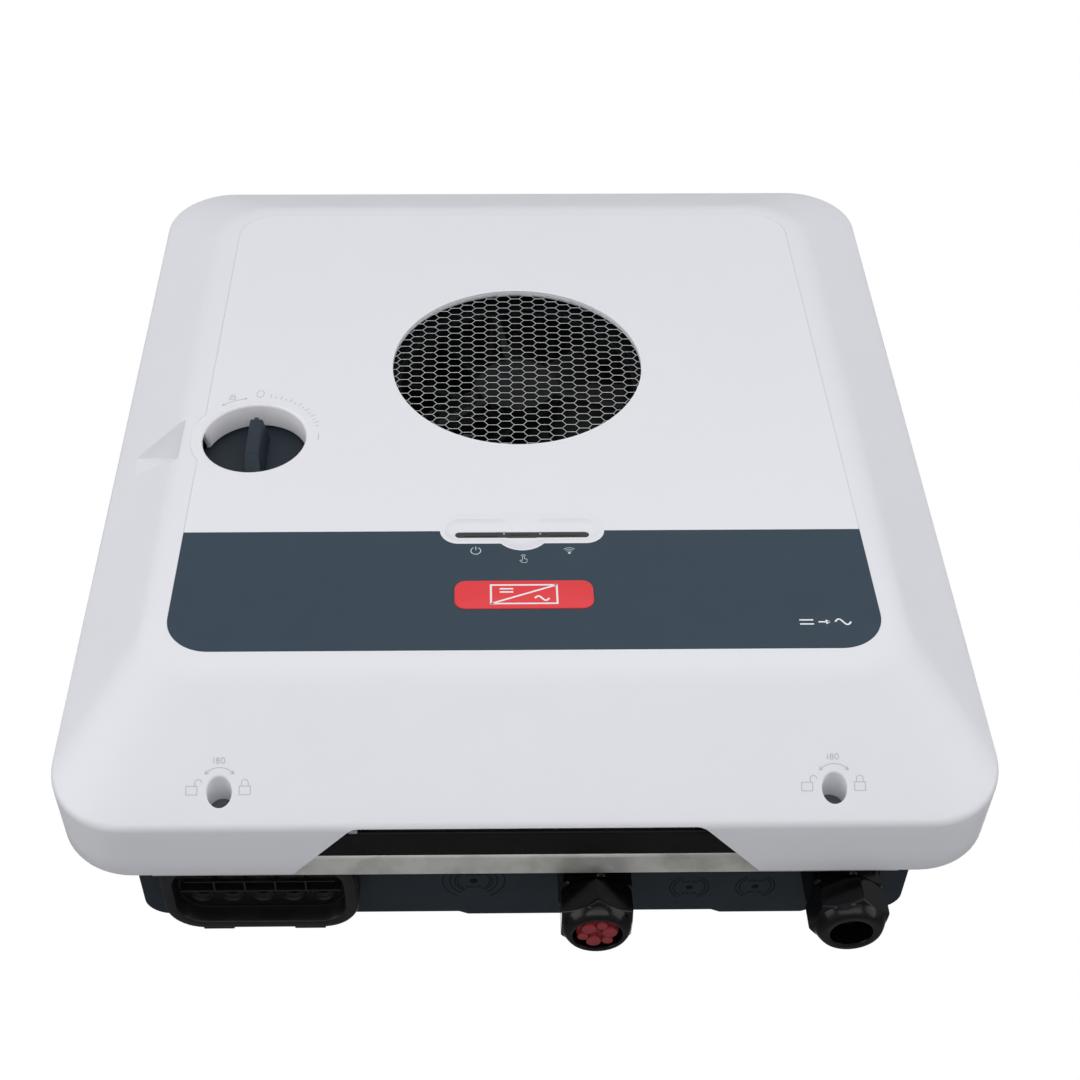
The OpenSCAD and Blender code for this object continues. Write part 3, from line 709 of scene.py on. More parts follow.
def cover_shell():
    outer = cover_rings(0, EDGE_SOFT, FACE_SOFT)
    inner = cover_rings(WALL, 3, 4)
    lip_out = [(x, LIP_Y - 0.2, z) for x, z in outline(COVER_W - 0.4, COVER_H - 0.4, COVER_R - 0.2)]
    lip_mid = [(x, LIP_Y, z) for x, z in outline(COVER_W - 1.6, COVER_H - 1.6, COVER_R - 0.8)]
    inside = outline(COVER_W - 2 * WALL + 1, COVER_H - 2 * WALL + 1, COVER_R - WALL + 0.5)
    lip_in = [(x, LIP_Y, z) for x, z in inside]
    rings = list(reversed(inner)) + [lip_in, lip_mid, lip_out] + outer
    return loft("cover_shell", rings)


def film_pocket():
    mid = (FILM_LOW.z + WHITE_HIGH.z) / 2
    tall = WHITE_HIGH.z - FILM_LOW.z
    wide = FILM_HIGH.x - FILM_LOW.x
    grow = 2 * FILM_GAP
    edge = outline(wide + grow, tall + grow, FILM_R + FILM_GAP, 0, mid)
    plate = prism_y("pocket", edge, FACE_Y - 1, FACE_Y + FILM_T)
    bulge = cylinder_y("bulge", KNOB.x, KNOB.z, BULGE_R + FILM_GAP, FACE_Y - 1, FACE_Y + FILM_T)
    return plate, bulge


def lip_cutter():
    """The tapered cut-out in the lower wall, with round corners at the front."""
    front, half_front, half_back, r = -118.2, 81.8, 118.0, 8.0
    right = arc(half_front, front + r, r, -90, -38, 8)
    right.append((half_back, LIP_Y + 1.2))
    left = [(-x, y) for x, y in reversed(right)]
    return prism_z("lip_cutter", left + right, COVER_LOW.z - 2, COVER_LOW.z + 5)


def slope_y(z):
    """Where the lower slope of the cover lies in front of the wall."""
    share = (z - COVER_LOW.z) / (FACE_BOTTOM - COVER_LOW.z)
    return crease_y(COVER_LOW.z) + (FACE_Y - crease_y(COVER_LOW.z)) * share


def notch_cutter():
    """A wedge that opens to the left side and narrows towards its floor."""
    rings = []
    for y, right, low, high in ((-141.6, -198.7, -32, -18), (-168, -190.8, -46, -7.2)):
        rings.append([(-232, y, low), (right, y, low), (right, y, high), (-232, y, high)])
    return loft("notch_cutter", rings)


def lock_tube(p):
    """The wall of a lock hole: a small round lip on the slope, then a straight bore with a seat."""
    steps, seat_r, wall_r, back = 64, 3.15, 8, -123
    seat = LOCK_FLOOR + 2.3
    lip = arc(LOCK_R + LOCK_LIP, LOCK_LIP, LOCK_LIP, 270, 180, 5)
    rings = []
    for r, deep in lip + [(LOCK_R, LOCK_LIP + 0.6)]:
        ring = []
        for i in range(steps):
            a = 2 * math.pi * i / steps
            z = p.z + r * math.sin(a)
            ring.append((p.x + r * math.cos(a), slope_y(z) + deep, z))
        rings.append(ring)
    for r, y in ((LOCK_R, LOCK_FLOOR), (seat_r, LOCK_FLOOR), (seat_r, seat), (wall_r, seat), (wall_r, back)):
        rings.append([(x, y, z) for x, z in circle_points(p.x, p.z, r, steps)])
    return loft("lock_tube", rings, cap_first=False, cap_last=False)


def round_cutter(name, place, r, back, steps):
    """A cylinder from in front of the face to the depth named."""
    return cylinder_y(name, place.x, place.z, r, FACE_Y - 2, back, steps)


def build_well():
    """The round well the knob stands in, with a window in its side for the lock; its white is painted
    brighter than the cover's to stand in for light bouncing round inside it.
    """
    lip = arc(WELL_R + WELL_LIP, FACE_Y + WELL_LIP, WELL_LIP, 270, 180, 8)
    end = FACE_Y + WELL_DEPTH
    profile = lip + [(WELL_R, end - 0.6), (WELL_R + 0.6, end), (WELL_R + 2.3, end)]
    profile += [(WELL_R + 2.3, FACE_Y + WELL_LIP + 1), (WELL_R + WELL_LIP, FACE_Y + WELL_LIP)]
    well = lathe("well", profile, KNOB.x, KNOB.z, steps=128)
    window = [(-163.2, -46), (-163.2, -21.5)]
    window += arc(-149.3, -17.6, 1.5, 105, 20, 4)
    window += [(-146.5, -18.5), (-146.5, -46)]
    cut(well, prism_x("well_window", window, -186, -171))
    # painted light: the well wall takes the brighter white that stands in for bounce light
    finish_piece(well, "inside", "cover")


def build_hook(x):
    """A hook on the cover's top edge, with the slot and the round seat its rod sits in."""
    hook = block("hook", (x - 12, HINGE_Y - 5.5, HINGE_Z - 2.5), (x + 12, HINGE_Y + 5.5, COVER_HIGH.z - 1))
    profile = [(0, x - 15), (ROD_R, x - 15), (ROD_R, x + 15), (0, x + 15)]
    rod = lathe("rod", profile, 0, 0, closed=False, steps=32)
    rod.data.transform(Matrix.Rotation(math.radians(-90), 4, "Z"))
    rod.data.transform(Matrix.Translation((0, HINGE_Y * MM, HINGE_Z * MM)))
    slot = block("slot", (x - 14, HINGE_Y - ROD_R, HINGE_Z - 7), (x + 14, HINGE_Y + ROD_R, HINGE_Z))
    cut(hook, slot, rod)
    return hook


def build_cover():
    shell = cover_shell()
    backing = block("notch_backing", (-229, -162, -50), (-188, -138.6, -4))
    merge(backing, loft("cover_solid", cover_rings(0.8, EDGE_SOFT, FACE_SOFT)), "INTERSECT")
    merge(shell, backing, "UNION")
    belly = Vector((0, 0, BELLY_Z))
    bar_r = BAR_R - BAR_LAP
    bar = outline(2 * (BAR_HALF + bar_r), 2 * (BAR_TALL + bar_r), bar_r, 0, BAR_Z)
    cutters = [round_cutter("fan_cut", GRILLE, FAN_R + FAN_LIP, FACE_Y + 8, 160),
               round_cutter("well_cut", KNOB, WELL_R + WELL_LIP, FACE_Y + 8, 128),
               lip_cutter(), *film_pocket(), notch_cutter()]
    locks = [centre("latch_left"), centre("latch_right")]
    cutters += [round_cutter("lock_cut", p, LOCK_R + LOCK_LIP, -122, 64) for p in locks]
    cutters.append(prism_y("bar_cut", bar, FACE_Y - 2, FACE_Y + 8))
    cutters.append(round_cutter("belly_cut", belly, BELLY_R - BAR_LAP, FACE_Y + 8, 64))
    cut(shell, *cutters)
    rim_r = FAN_R + FAN_LIP
    rim = []
    for a in [math.radians(t) for t in range(270, 179, -15)]:
        rim.append((rim_r + FAN_LIP * math.cos(a), FACE_Y + FAN_LIP_DEEP * (1 + math.sin(a))))
    rim += [(FAN_R, FACE_Y + 3.2), (rim_r, FACE_Y + 3.2)]
    fan_rim = lathe("fan_rim", rim, GRILLE.x, GRILLE.z, steps=160)
    build_well()
    parts = [shell, fan_rim] + [lock_tube(p) for p in locks] + [build_hook(s * HINGE_X) for s in (-1, 1)]
    cover = join("cover_moulding", parts)
    tidy_normals(cover, 28)
    finish_piece(cover, "cover", "cover", "front_cover")


# ---- grille


def build_grille():
    """Expanded mesh: hexagon outlines thickened into strands and rounded."""
    cell_x, cell_z, run, strand = 7.5, 6.5, 2.3, 0.46
    w, h = cell_x + run, cell_z
    inner = w / 2 - run
    shape = [(-w / 2, 0), (-inner, h / 2), (inner, h / 2), (w / 2, 0), (inner, -h / 2), (-inner, -h / 2)]
    work = bmesh.new()
    y = GRILLE.y - 1.3
    for i in range(-10, 11):
        for j in range(-12, 13):
            x = i * cell_x
            z = (j - (0 if i % 2 == 0 else 0.5)) * cell_z
            if math.hypot(x, z) < FAN_R + 5:
                places = [Vector((GRILLE.x + x + a, y, GRILLE.z + z + b)) * MM for a, b in shape]
                work.faces.new([work.verts.new(place) for place in places])
    bmesh.ops.remove_doubles(work, verts=work.verts, dist=0.05 * MM)
    obj = object_from(work, "grille_strands")
    wire = obj.modifiers.new("strands", "WIREFRAME")
    wire.thickness = strand * MM
    wire.use_even_offset = True
    bake_modifiers(obj)
    soften(obj, 0.1, 2, 40)
    finish_piece(obj, "mesh", "cover", "grille_mesh")


# ---- knob


def build_knob():
    disc_r = (KNOB_HIGH.x - KNOB_LOW.x) / 2
    front, back, tip = -147.5, -144, KNOB_LOW.y
    profile = [(0, front + 0.5), (disc_r - 5, front + 0.5), (disc_r - 3.6, front)]
    profile += arc(disc_r - 1, front + 1, 1, 270, 360, 4)
    profile += [(disc_r, back - 0.5), (disc_r - 0.5, back), (10, back), (10, -141), (0, -141)]
    disc = lathe("disc", profile, KNOB.x, KNOB.z, closed=False, steps=128)
    base = front + 0.8
    side = [(base, 20.6), (tip + 0.6, 19.7), (tip, 19.0), (tip, -8.9), (tip + 0.4, -10.2), (base, -26.5)]
    rings = []
    for f in (-1, -0.8, 0.8, 1):
        ring = []
        for y, z in side:
            share = min(1, (base - y) / (base - tip))
            left, right = -5.3 + 0.7 * share, 5.6 - 2.7 * share
            squeeze = 0.45 * share if abs(f) == 1 else 0
            fall = 0.9 * share if abs(f) == 1 and z > 0 else 0
            x = KNOB.x + (left + right) / 2 + f * (right - left) / 2
            ring.append((x, y + squeeze, KNOB.z + z - fall))
        rings.append(ring)
    handle = loft("handle", rings)
    soften(handle, 0.45, 3, 20)
    nub = block("nub", (KNOB.x - 2.4, tip + 0.5, KNOB.z + 18), (KNOB.x + 0.3, tip + 9, KNOB.z + 21.6), 0.5)
    knob = join("knob_with_handle", [disc, handle, nub])
    tidy_normals(knob, 30)
    finish_piece(knob, "knob", "knob", "disconnector_knob")


# ---- light bar


def stadium(cx, cz, half, r, straight=110, turn=50):
    """Points and outward directions round a lying stadium, the same number whatever its size."""
    out = []
    for k in range(straight):
        out.append(((cx - half + 2 * half * k / straight, cz - r), (0, -1)))
    for k in range(turn):
        a = -math.pi / 2 + math.pi * k / turn
        out.append(((cx + half + r * math.cos(a), cz + r * math.sin(a)), (math.cos(a), math.sin(a))))
    for k in range(straight):
        out.append(((cx + half - 2 * half * k / straight, cz + r), (0, 1)))
    for k in range(turn):
        a = math.pi / 2 + math.pi * k / turn
        out.append(((cx - half + r * math.cos(a), cz + r * math.sin(a)), (math.cos(a), math.sin(a))))
    return out


def bar_edge(x, z):
    """Signed distance to the light bar's outline."""
    bar = math.hypot(max(abs(x) - BAR_HALF, 0), max(abs(z - BAR_Z) - BAR_TALL, 0)) - BAR_R
    return min(bar, math.hypot(x, z - BELLY_Z) - BELLY_R)


def build_light_bar():
    slot_low, slot_high = span("light_window")
    slot_z, slot_r = (slot_low.z + slot_high.z) / 2, (slot_high.z - slot_low.z) / 2
    slot_half = slot_high.x - slot_r
    rec_z, rec_half, rec_r, deep = -104.2, 33.1, 8.3, 2.4

    def height(x, z):
        """The bar's surface: a recess along it and a round dish in the middle, softly joined."""
        dx = max(abs(x) - rec_half, 0)
        inside = rec_r - math.hypot(dx, z - rec_z)
        recess = deep * (1 - math.exp(-max(0, inside) / 1.7)) / (1 - math.exp(-rec_r / 1.7))
        ball = 30 ** 2 - x * x - (z - BELLY_Z) ** 2
        dish = math.sqrt(ball) - 26.5 if ball > 0 else -1
        ridge = max(0, abs(z - slot_z) - slot_r)
        dish = min(dish, 2.5 + ridge * 0.9)
        blend = 0.25
        top = max(recess, dish)
        gap = abs(recess - dish)
        if recess > 0 and dish > 0 and gap < blend:
            top += (blend - gap) ** 2 / (4 * blend)
        return FACE_Y + max(0, top)

    rims = []
    for p, n in stadium(0, rec_z, rec_half, rec_r):
        reach = 0.0
        while bar_edge(p[0] + n[0] * reach, p[1] + n[1] * reach) < 0.12 and reach < 16:
            reach += 0.03
        rims.append((p, n, reach))
    flat = []
    for f in [i / 24 for i in range(24, 0, -1)]:
        flat.append([(p[0] + n[0] * r * f, p[1] + n[1] * r * f) for p, n, r in rims])
    inner = stadium(0, slot_z, slot_half, slot_r)
    for i in range(23):
        f = (i / 22) ** 1.3
        pairs = [(rim[0], end[0]) for rim, end in zip(rims, inner)]
        flat.append([(p[0] + (q[0] - p[0]) * f, p[1] + (q[1] - p[1]) * f) for p, q in pairs])
    rings = [[(x, FACE_Y + 1.2, z) for x, z in flat[0]]]
    rings += [[(x, height(x, z), z) for x, z in ring] for ring in flat]
    for inset, y in ((-0.05, 2.5), (-0.15, 2.7), (-0.15, 5.2)):
        rings.append([(q[0] + m[0] * inset, FACE_Y + y, q[1] + m[1] * inset) for q, m in inner])
    bar = loft("light_bar_moulding", rings, cap_first=False, cap_last=False, smooth_angle=50)
    finish_piece(bar, "cover", "cover", "light_bar_frame")
    rings = []
    for inset, y in ((0.0, 5.0), (0.0, 2.8), (0.2, 2.62)):
        rings.append([(q[0] - m[0] * inset, FACE_Y + y, q[1] - m[1] * inset) for q, m in inner])
    lens = loft("light_window_lens", rings)
    finish_piece(lens, "window", "cover", "light_window")
    bits = []
    for x in (-9.7, 9.8):
        low, high = (x - 0.4, FACE_Y + 2.5, slot_z + 0.6), (x + 0.4, FACE_Y + 3.0, slot_z + 1.3)
        bits.append(block("bit", low, high))
    finish_piece(join("light_bar_chips", bits), "guide", "cover")
    bits = []
    for x0, x1, z in ((-31, -13, -0.9), (-6.5, 3.5, -0.2), (11.2, 13.4, 0.2), (14.5, 31, -0.9)):
        bits.append(block("trace", (x0, FACE_Y + 2.55, slot_z + z), (x1, FACE_Y + 3.0, slot_z + z + 0.22)))
    finish_piece(join("light_bar_traces", bits), "mark", "cover")


# ---- printed and moulded marks


def build_marks():
    face = Plane((0, FACE_Y, 0), (1, 0, 0), (0, 0, 1))
    icons = []
    px, pz = -24.8, -120.3
    icons += [(arc(px, pz, 2.6, 118, 422, 20), False), ([(px, pz + 0.5), (px, pz + 3.1)], False)]
    wx, wz = 24.6, -122.4
    icons += [(circle_points(wx, wz + 0.2, 0.55, 12), True), (circle_points(wx, wz + 0.2, 0.2, 6), True)]
    finish_piece(strokes("status_icons", face, icons, 0.42, 0.05), "icon", "cover")
    fine = [(arc(wx, wz, r, 45, 135, 10), False) for r in (1.7, 2.9, 4.1)]
    hx, hz, k = 0.3, -126.6, 0.86
    hand = [(-0.6, -1.0), (-0.6, 2.0)] + arc(0, 2.0, 0.6, 180, 0, 6)
    hand += [(0.6, 0.2), (2.2, -0.2), (2.1, -2.2), (1.5, -3.2), (-0.9, -3.2), (-2.3, -1.4), (-1.6, -0.9)]
    hand += [(-0.6, -1.8)]
    fine += [([(hx + k * x, hz + k * z) for x, z in hand], False)]
    fine += [(arc(hx, hz + 2.2 * k, 1.5 * k, 20, 160, 8), False)]
    finish_piece(strokes("status_icons_fine", face, fine, 0.27, 0.05), "icon", "cover")

    ratings = [([(139, -171.6), (146, -171.6)], False), ([(139, -174.4), (146, -174.4)], False),
               ([(148.5, -173), (154, -173)], False)]
    ratings += arrow(154.2, -173, 0, 2.2)
    ratings += [([(157 + 8 * i / 24, -173 + 1.9 * math.sin(2 * math.pi * i / 24)) for i in range(25)], False)]
    finish_piece(strokes("converter_pictogram", face, ratings, 0.85, 0.06), "print", "cover")

    dial = []
    low_a, high_a = 90 + 37, 90 + 12
    ring = arc(KNOB.x, KNOB.z, 35.2, low_a, high_a, 10)
    dial += [(ring, False)]
    dial += arrow(ring[0][0], ring[0][1], low_a + 90, 1.6) + arrow(ring[-1][0], ring[-1][1], high_a - 90, 1.6)
    a = math.radians(90 + 24)
    dial += padlock(KNOB.x + 39 * math.cos(a), KNOB.z + 39 * math.sin(a), 4.4, False)
    zero = [(2.1 * math.cos(math.radians(t * 15)), 3.2 * math.sin(math.radians(t * 15))) for t in range(24)]
    dial += [([(KNOB.x + x, KNOB.z + 38.6 + z) for x, z in zero], True)]
    for t in range(10, 76, 5):
        a = math.radians(90 - t)
        long = 38.6 if t % 10 == 0 else 37.4
        dial += [([(KNOB.x + r * math.cos(a), KNOB.z + r * math.sin(a)) for r in (35.4, long)], False)]
    dial += [([(KNOB.x + 36.6, KNOB.z - 2.8), (KNOB.x + 36.6, KNOB.z + 2.8)], False)]
    # the dial marks are white moulding; their grey is painted shade
    finish_piece(strokes("knob_dial_marks", face, dial, 0.38, 0.12), "marks_painted_shade", "cover")

    slope_up = Vector((0, FACE_Y - crease_y(COVER_LOW.z), FACE_BOTTOM - COVER_LOW.z))
    for side in ("left", "right"):
        p = centre("latch_" + side)
        slope = Plane((p.x, slope_y(p.z), p.z), (1, 0, 0), slope_up)
        marks = [(arc(0, 2.2, 9.4, 138, 42, 12), False)]
        marks += arrow(-7.0, 8.5, 222, 1.8) + arrow(7.0, 8.5, -42, 1.8)
        marks += padlock(-13.4, 2.2, 7.4, True) + padlock(12.4, 2.2, 7.4, False)
        marks += [([(-2.9, 13.6), (-2.9, 16.4)], False)]
        marks += [(circle_points(-0.9, 15.7, 0.65, 12), True), (circle_points(-0.9, 14.35, 0.78, 12), True)]
        turns = [t * math.pi / 8 for t in range(16)]
        marks += [([(1.6 + 0.9 * math.cos(t), 15 + 1.4 * math.sin(t)) for t in turns], True)]
        # the lock marks are white moulding; their grey is painted shade
        finish_piece(strokes("lock_marks_" + side, slope, marks, 0.38, 0.12), "marks_painted_shade", "cover")


def build_badge():
    low, high = span("badge")
    mid = centre("badge")
    w, h = high.x - low.x, high.z - low.z
    rings = []
    for inset, y in ((0, high.y), (0, low.y + 0.35), (0.12, low.y + 0.12), (0.4, low.y)):
        edge = outline(w - 2 * inset, h - 2 * inset, 6 - inset, mid.x, mid.z, 10, 6)
        rings.append([(x, y, z) for x, z in edge])
    finish_piece(loft("converter_badge", rings), "badge", "cover", "badge")
    plane = Plane((mid.x, low.y, mid.z), (1, 0, 0), (0, 0, 1))
    a, b = 17, 6.6
    lines = [([(-a, -b), (a, -b), (a, b), (-a, b)], True), ([(-a, -b), (a, b)], False)]
    lines += [([(-12.5, 3.9), (-5.5, 3.9)], False), ([(-12.5, 1.6), (-5.5, 1.6)], False)]
    lines += [([(5.5 + 7.5 * i / 20, -2.9 + 1.5 * math.sin(2 * math.pi * i / 20)) for i in range(21)], False)]
    finish_piece(strokes("badge_symbol", plane, lines, 0.95, 0.05), "print", "cover")


def build_knockouts():
    """Round knockouts in the housing's floor: broken rings, a raised middle, and short size marks."""
    low = span("rear_housing")[0]
    floor = Plane((0, 0, low.z), (1, 0, 0), (0, -1, 0))
    marks = []
    for x, y, radii, gap in ((-26.8, -40.6, (8.6, 10, 12.6, 16.4), 32), (87.7, -33, (8.4, 10.3), 30),
                             (122.7, -33.4, (8.4, 10.3), 30)):
        for r in radii:
            for start in (90 + gap, -90 + gap):
                marks.append((arc(x, -y, r, start, start + 180 - 2 * gap, 16), False))
        for side in (-1, 1):
            v = -y + side * radii[0] * 0.62
            for u in (-3.6, -2.7, -1.2, -0.3, 1.5, 2.7, 3.6):
                marks.append(([(x + u, v - 0.8), (x + u, v + 0.8)], False))
    finish_piece(strokes("knockout_rings", floor, marks, 0.5, 0.06), "mark", "inverter")
    dimples = []
    for x, y, r in ((-26.8, -40.6, 2.1), (87.7, -33, 1.9), (122.7, -33.4, 1.9)):
        profile = [(0, 0.2), (0, -0.06), (r * 0.7, -0.1), (r, -0.06), (r, 0.2)]
        profile = [(d, low.z + h) for d, h in profile]
        dimples.append(lathe("dimple", profile, x, y, "z", 24, closed=False))
    spots = join("knockout_centres", dimples)
    tidy_normals(spots, 40)
    finish_piece(spots, "mark", "inverter")


# ---- cable entries


def hex_radius(angle, flats, turn):
    """Distance to a hexagon's edge; one corner points along the turn."""
    a = (math.degrees(angle) - turn) % 60 - 30
    return flats / 2 / math.cos(math.radians(a))


def gland_nut(name, x, y, turn, mouth_r, low, high):
    """A hexagon whose lower end is rounded off by a dome, with a round mouth."""
    steps = 192

    def dome(z):
        t = min(1, (z - low) / DOME_H)
        chamfer = CHAMFER_SLOPE * max(0, z - low - CHAMFER_START)
        return DOME_START_R + DOME_GROWTH * (1 - (1 - t) ** DOME_POWER) ** (1 / DOME_POWER) + chamfer

    def soft_min(a, b):
        middle, k = GLAND_FLATS / 2, CORNER_SOFT
        return middle - k * math.log(math.exp((middle - a) / k) + math.exp((middle - b) / k))

    heights = [0.0, 0.15, 0.4, 0.8, 1.4, 2.0, 2.8, 3.6, 4.4, 5.2, 5.6, 6.0, 6.4, 6.9, 7.5, 8.5, 10, 14, 17]
    heights += [high - low - d for d in (2.2, 1.4, 0.7, 0)]
    rings = []
    for z in [low + d for d in heights]:
        cap = min(dome(z), 18.9 + CHAMFER_SLOPE * (high - z))
        rings.append(level_ring(x, y, z, lambda a: soft_min(hex_radius(a, GLAND_FLATS, turn), cap), steps))
    profile = [(14.2, low - 0.1), (mouth_r + 0.9, low - 0.1), (mouth_r + 0.3, low + 0.15)]
    profile += [(mouth_r, low + 0.9), (mouth_r, low + 12), (14.8, low + 12), (14.8, high)]
    mouth = [level_ring(x, y, z, lambda a: r, steps) for r, z in profile]
    return loft(name, list(reversed(mouth)) + rings, cap_first=False, cap_last=False, smooth_angle=24)


def gland_collar(x, y, turn, low, high):
    """The threaded body's own hexagon, chamfered at both ends."""
    caps = [(low + 1.2, 16.5), (low, 17), (low, 18.8), (low + 1.2, 20.8)]
    caps += [(high - 1.0, 20.8), (high, 20.0), (high, 15)]
    rings = []
    for z, cap in caps:
        rings.append(level_ring(x, y, z, lambda a: min(hex_radius(a, GLAND_FLATS - 0.6, turn), cap), 144))
    return loft("collar", rings, cap_first=False, cap_last=False, smooth_angle=24)


def build_glands():
    nut_low, nut_high = span("gland_nuts")
    low, high = span("gland_seals")
    red = centre("plug_insert")
    xs = (red.x, low.x + high.x - red.x)
    y = red.y
    wall_z = span("rear_housing")[0].z
    nuts = [gland_nut("nut", x, y, turn, mouth, nut_low.z, nut_high.z)
            for x, turn, mouth in zip(xs, GLAND_TURNS, GLAND_MOUTHS)]
    nut = join("gland_dome_nuts", nuts)
    finish_piece(nut, "gloss", "inverter", "gland_nuts")
    bodies = []
    neck_top = -228
    for x in xs:
        bodies.append(gland_collar(x, y, 36, nut_high.z + 0.5, wall_z))
        profile = [(12.6, neck_top), (16, neck_top), (16, wall_z), (14.5, nut_high.z + 2)]
        profile += [(14.5, nut_high.z - 8), (12.6, nut_high.z - 8)]
        bodies.append(lathe("neck", profile, x, y, "z", 64))
    finish_piece(join("gland_threaded_bodies", bodies), "gloss", "inverter", "gland_bodies")
    rim = [(12.3, low.z), (12.3, high.z)]
    wide = [(11, high.z), (11, low.z + 0.8), (11.4, low.z)] + rim
    narrow = [(6.5, high.z), (6.5, low.z + 1.2), (7.4, low.z + 0.2), (9.4, low.z)] + rim
    seals = [lathe("seal", profile, x, y, "z", 64) for x, profile in zip(xs, (wide, narrow))]
    seal = join("gland_rubber_seals", seals)
    tidy_normals(seal, 35)
    finish_piece(seal, "rubber", "inverter", "gland_seals")
    build_plug(xs[0], y)


def build_plug(x, y):
    """The six-way plug in the left gland: six round faces and the folds between them."""
    low, high = span("plug_insert")
    low.z -= PLUG_FORWARD
    profile = [(0, high.z), (10.9, high.z), (10.9, low.z + 3.2), (10.3, low.z + 2.6), (0, low.z + 2.2)]
    parts = [lathe("core", profile, x, y, "z", 64, closed=False)]
    for i in range(6):
        a = math.radians(60 * i - 16)
        r, reach = (3.8, 6.4) if i % 2 == 0 else (2.75, 7.6)
        profile = [(0, 0.1), (r - 0.35, 0.1), (r - 0.1, 0.2), (r, 0.5), (r * 0.9, 3)]
        profile = [(d, low.z + h) for d, h in profile]
        u, v = x + reach * math.sin(a), y + reach * math.cos(a)
        parts.append(lathe("plug", profile, u, v, "z", 40, closed=False))
        b = a + math.radians(30)
        fold = block("fold", (1.2, -0.25, low.z + 1.5), (8.6, 0.25, low.z + 3), 0.1)
        fold.data.transform(Matrix.Rotation(math.pi / 2 - b, 4, "Z"))
        fold.data.transform(Matrix.Translation((x * MM, y * MM, 0)))
        parts.append(fold)
    plug = join("six_way_plug", parts)
    tidy_normals(plug, 40)
    finish_piece(plug, "plug", "inverter", "plug_insert")


def outline_ring(cx, cy, w, h, r, z):
    return [(x, y, z) for x, y in outline(w, h, r, cx, cy, 12, 8)]


def build_dc_entry():
    low, high = span("dc_entry_frame")
    seal_low, seal_high = span("dc_entry_seals")
    cx = (low.x + high.x) / 2
    back, front = ENTRY_BACK, low.y
    cy = (back + front) / 2
    w, h = high.x - low.x, back - front
    top = span("rear_housing")[0].z
    rings = []
    foot = [(0, 4.2), (0.25, 3.8), (0.9, 3.7), (0.9, 3.0), (0.4, 2.7), (0.5, 1.6), (1.3, 0.5), (2.4, 0)]
    foot = [(inset, low.z + z) for inset, z in foot + [(5.9, 0), (6.6, 0.25), (7.1, 1.1)]]
    head = [(7.6, top - 4), (8.2, top - 3.7), (8.2, top + 4)]
    for inset, z in [(0.6, top), (0, top - 0.6)] + foot + head:
        rings.append(outline_ring(cx, cy, w - 2 * inset, h - 2 * inset, max(20 - 0.8 * inset, 4), z))
    parts = [loft("bezel", rings, cap_first=False, cap_last=False)]
    for x in ENTRY_TABS:
        parts.append(block("tab", (x - 8.2, back - 1.5, low.z + 0.9), (x + 8.2, back + 1.1, top - 3), 0.5))
    frame_piece = join("dc_entry_bezel", parts)
    tidy_normals(frame_piece, 32)
    finish_piece(frame_piece, "bezel", "inverter", "dc_entry_frame")
    flange_r = 7
    pitch = (seal_high.x - seal_low.x - 2 * flange_r) / 4
    steps = [(2.8, 2.6), (3.4, 1.9), (4.7, 1.5), (4.9, 0.5), (5.3, 0.05), (5.8, 0.3), (6.1, 1.2), (6.5, 1.2)]
    steps += [(6.7, 0.8), (flange_r, 1.1), (flange_r, 2), (6, 2)]
    profile = [(2.8, seal_high.z)] + [(r, seal_low.z + h) for r, h in steps] + [(6, seal_high.z)]
    rings = []
    for y in (seal_high.y - flange_r, seal_low.y + flange_r):
        for i in range(-2, 3):
            rings.append(lathe("seal", profile, cx + i * pitch, y, "z", 56))
    seals = join("dc_cable_seals", rings)
    tidy_normals(seals, 35)
    finish_piece(seals, "rubber", "inverter", "dc_entry_seals")


def build_tray_clip():
    """A small clip on the connection tray, just inside the left end of the cover's cut-out."""
    clip = block("tray_clip", (-87.5, -113.4, -262), (-83, -110.6, -256), 0.5)
    finish_piece(clip, "grey", "inverter")


# ---- light, floor and camera


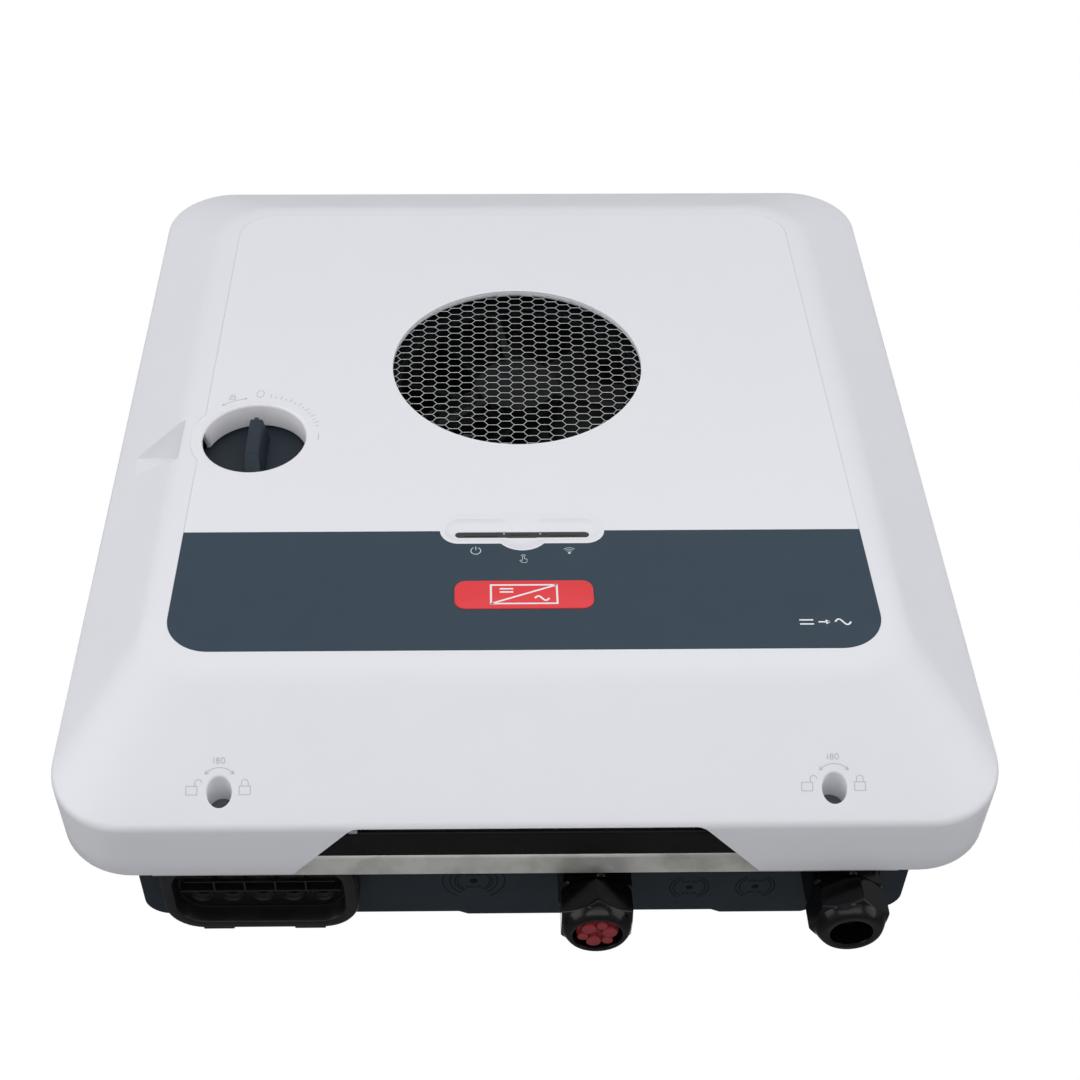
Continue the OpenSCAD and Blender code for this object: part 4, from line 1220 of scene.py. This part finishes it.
def build_stage():
    half, down = 9000, -1400
    corners = [(-half, -half, down), (half, -half, down), (half, half, down), (-half, half, down)]
    floor = new_object("floor", corners, [(0, 1, 2, 3)])
    s = Surface("floor_pale", (0.56, 0.56, 0.57), 0.7)
    s.mottle(1.5, (0.52, 0.52, 0.53), 0.4)
    s.roughness(3, 0.05)
    floor.data.materials.append(s.material)

    world = bpy.data.worlds.new("studio")
    bpy.context.scene.world = world
    world.use_nodes = True
    tree = world.node_tree
    tree.nodes.clear()
    path = add_node(tree, "ShaderNodeLightPath")
    seen = add_node(tree, "ShaderNodeBackground", Strength=1.0, Color=(1, 1, 1, 1))
    soft = add_node(tree, "ShaderNodeBackground", Color=(0.97, 0.98, 1.0, 1))
    place = add_node(tree, "ShaderNodeTexCoord")
    parts = add_node(tree, "ShaderNodeSeparateXYZ")
    tree.links.new(place.outputs["Generated"], parts.inputs[0])
    strength = add_range(tree, parts.outputs["Y"], -0.8, 0.35, AMBIENT_FRONT, AMBIENT_BACK)
    tree.links.new(strength, soft.inputs["Strength"])
    mix = add_node(tree, "ShaderNodeMixShader")
    out = add_node(tree, "ShaderNodeOutputWorld")
    tree.links.new(path.outputs["Is Camera Ray"], mix.inputs[0])
    tree.links.new(soft.outputs[0], mix.inputs[1])
    tree.links.new(seen.outputs[0], mix.inputs[2])
    tree.links.new(mix.outputs[0], out.inputs[0])

    for name, place, size, power in LIGHTS:
        lamp = bpy.data.lights.new(name, "AREA")
        lamp.shape = "RECTANGLE"
        lamp.size, lamp.size_y = size
        lamp.energy = power
        lamp.color = (1.0, 0.995, 0.985)
        obj = bpy.data.objects.new(name, lamp)
        obj.location = place
        aim = Vector((0, -0.1, 0)) - Vector(place)
        obj.rotation_euler = aim.to_track_quat("-Z", "Y").to_euler()
        bpy.context.scene.collection.objects.link(obj)


def build_camera():
    data = bpy.data.cameras.new("camera")
    data.sensor_width = 36
    data.lens = CAMERA_LENS
    data.shift_x = CAMERA_SHIFT
    data.clip_start = 0.02
    data.clip_end = 60
    cam = bpy.data.objects.new("camera", data)
    forward = Vector(CAMERA_FORWARD).normalized()
    right = forward.cross(Vector(CAMERA_UP)).normalized()
    up = right.cross(forward).normalized()
    turn = Matrix((right, up, -forward)).transposed().to_4x4()
    cam.matrix_world = Matrix.Translation(CAMERA_PLACE) @ turn
    bpy.context.scene.collection.objects.link(cam)
    bpy.context.scene.camera = cam


build_camera()
dress_nodes()
build_cover()
build_grille()
build_knob()
build_light_bar()
build_marks()
build_badge()
build_knockouts()
build_glands()
build_dc_entry()
build_tray_clip()
build_stage()
bpy.context.scene.view_settings.view_transform = "Standard"
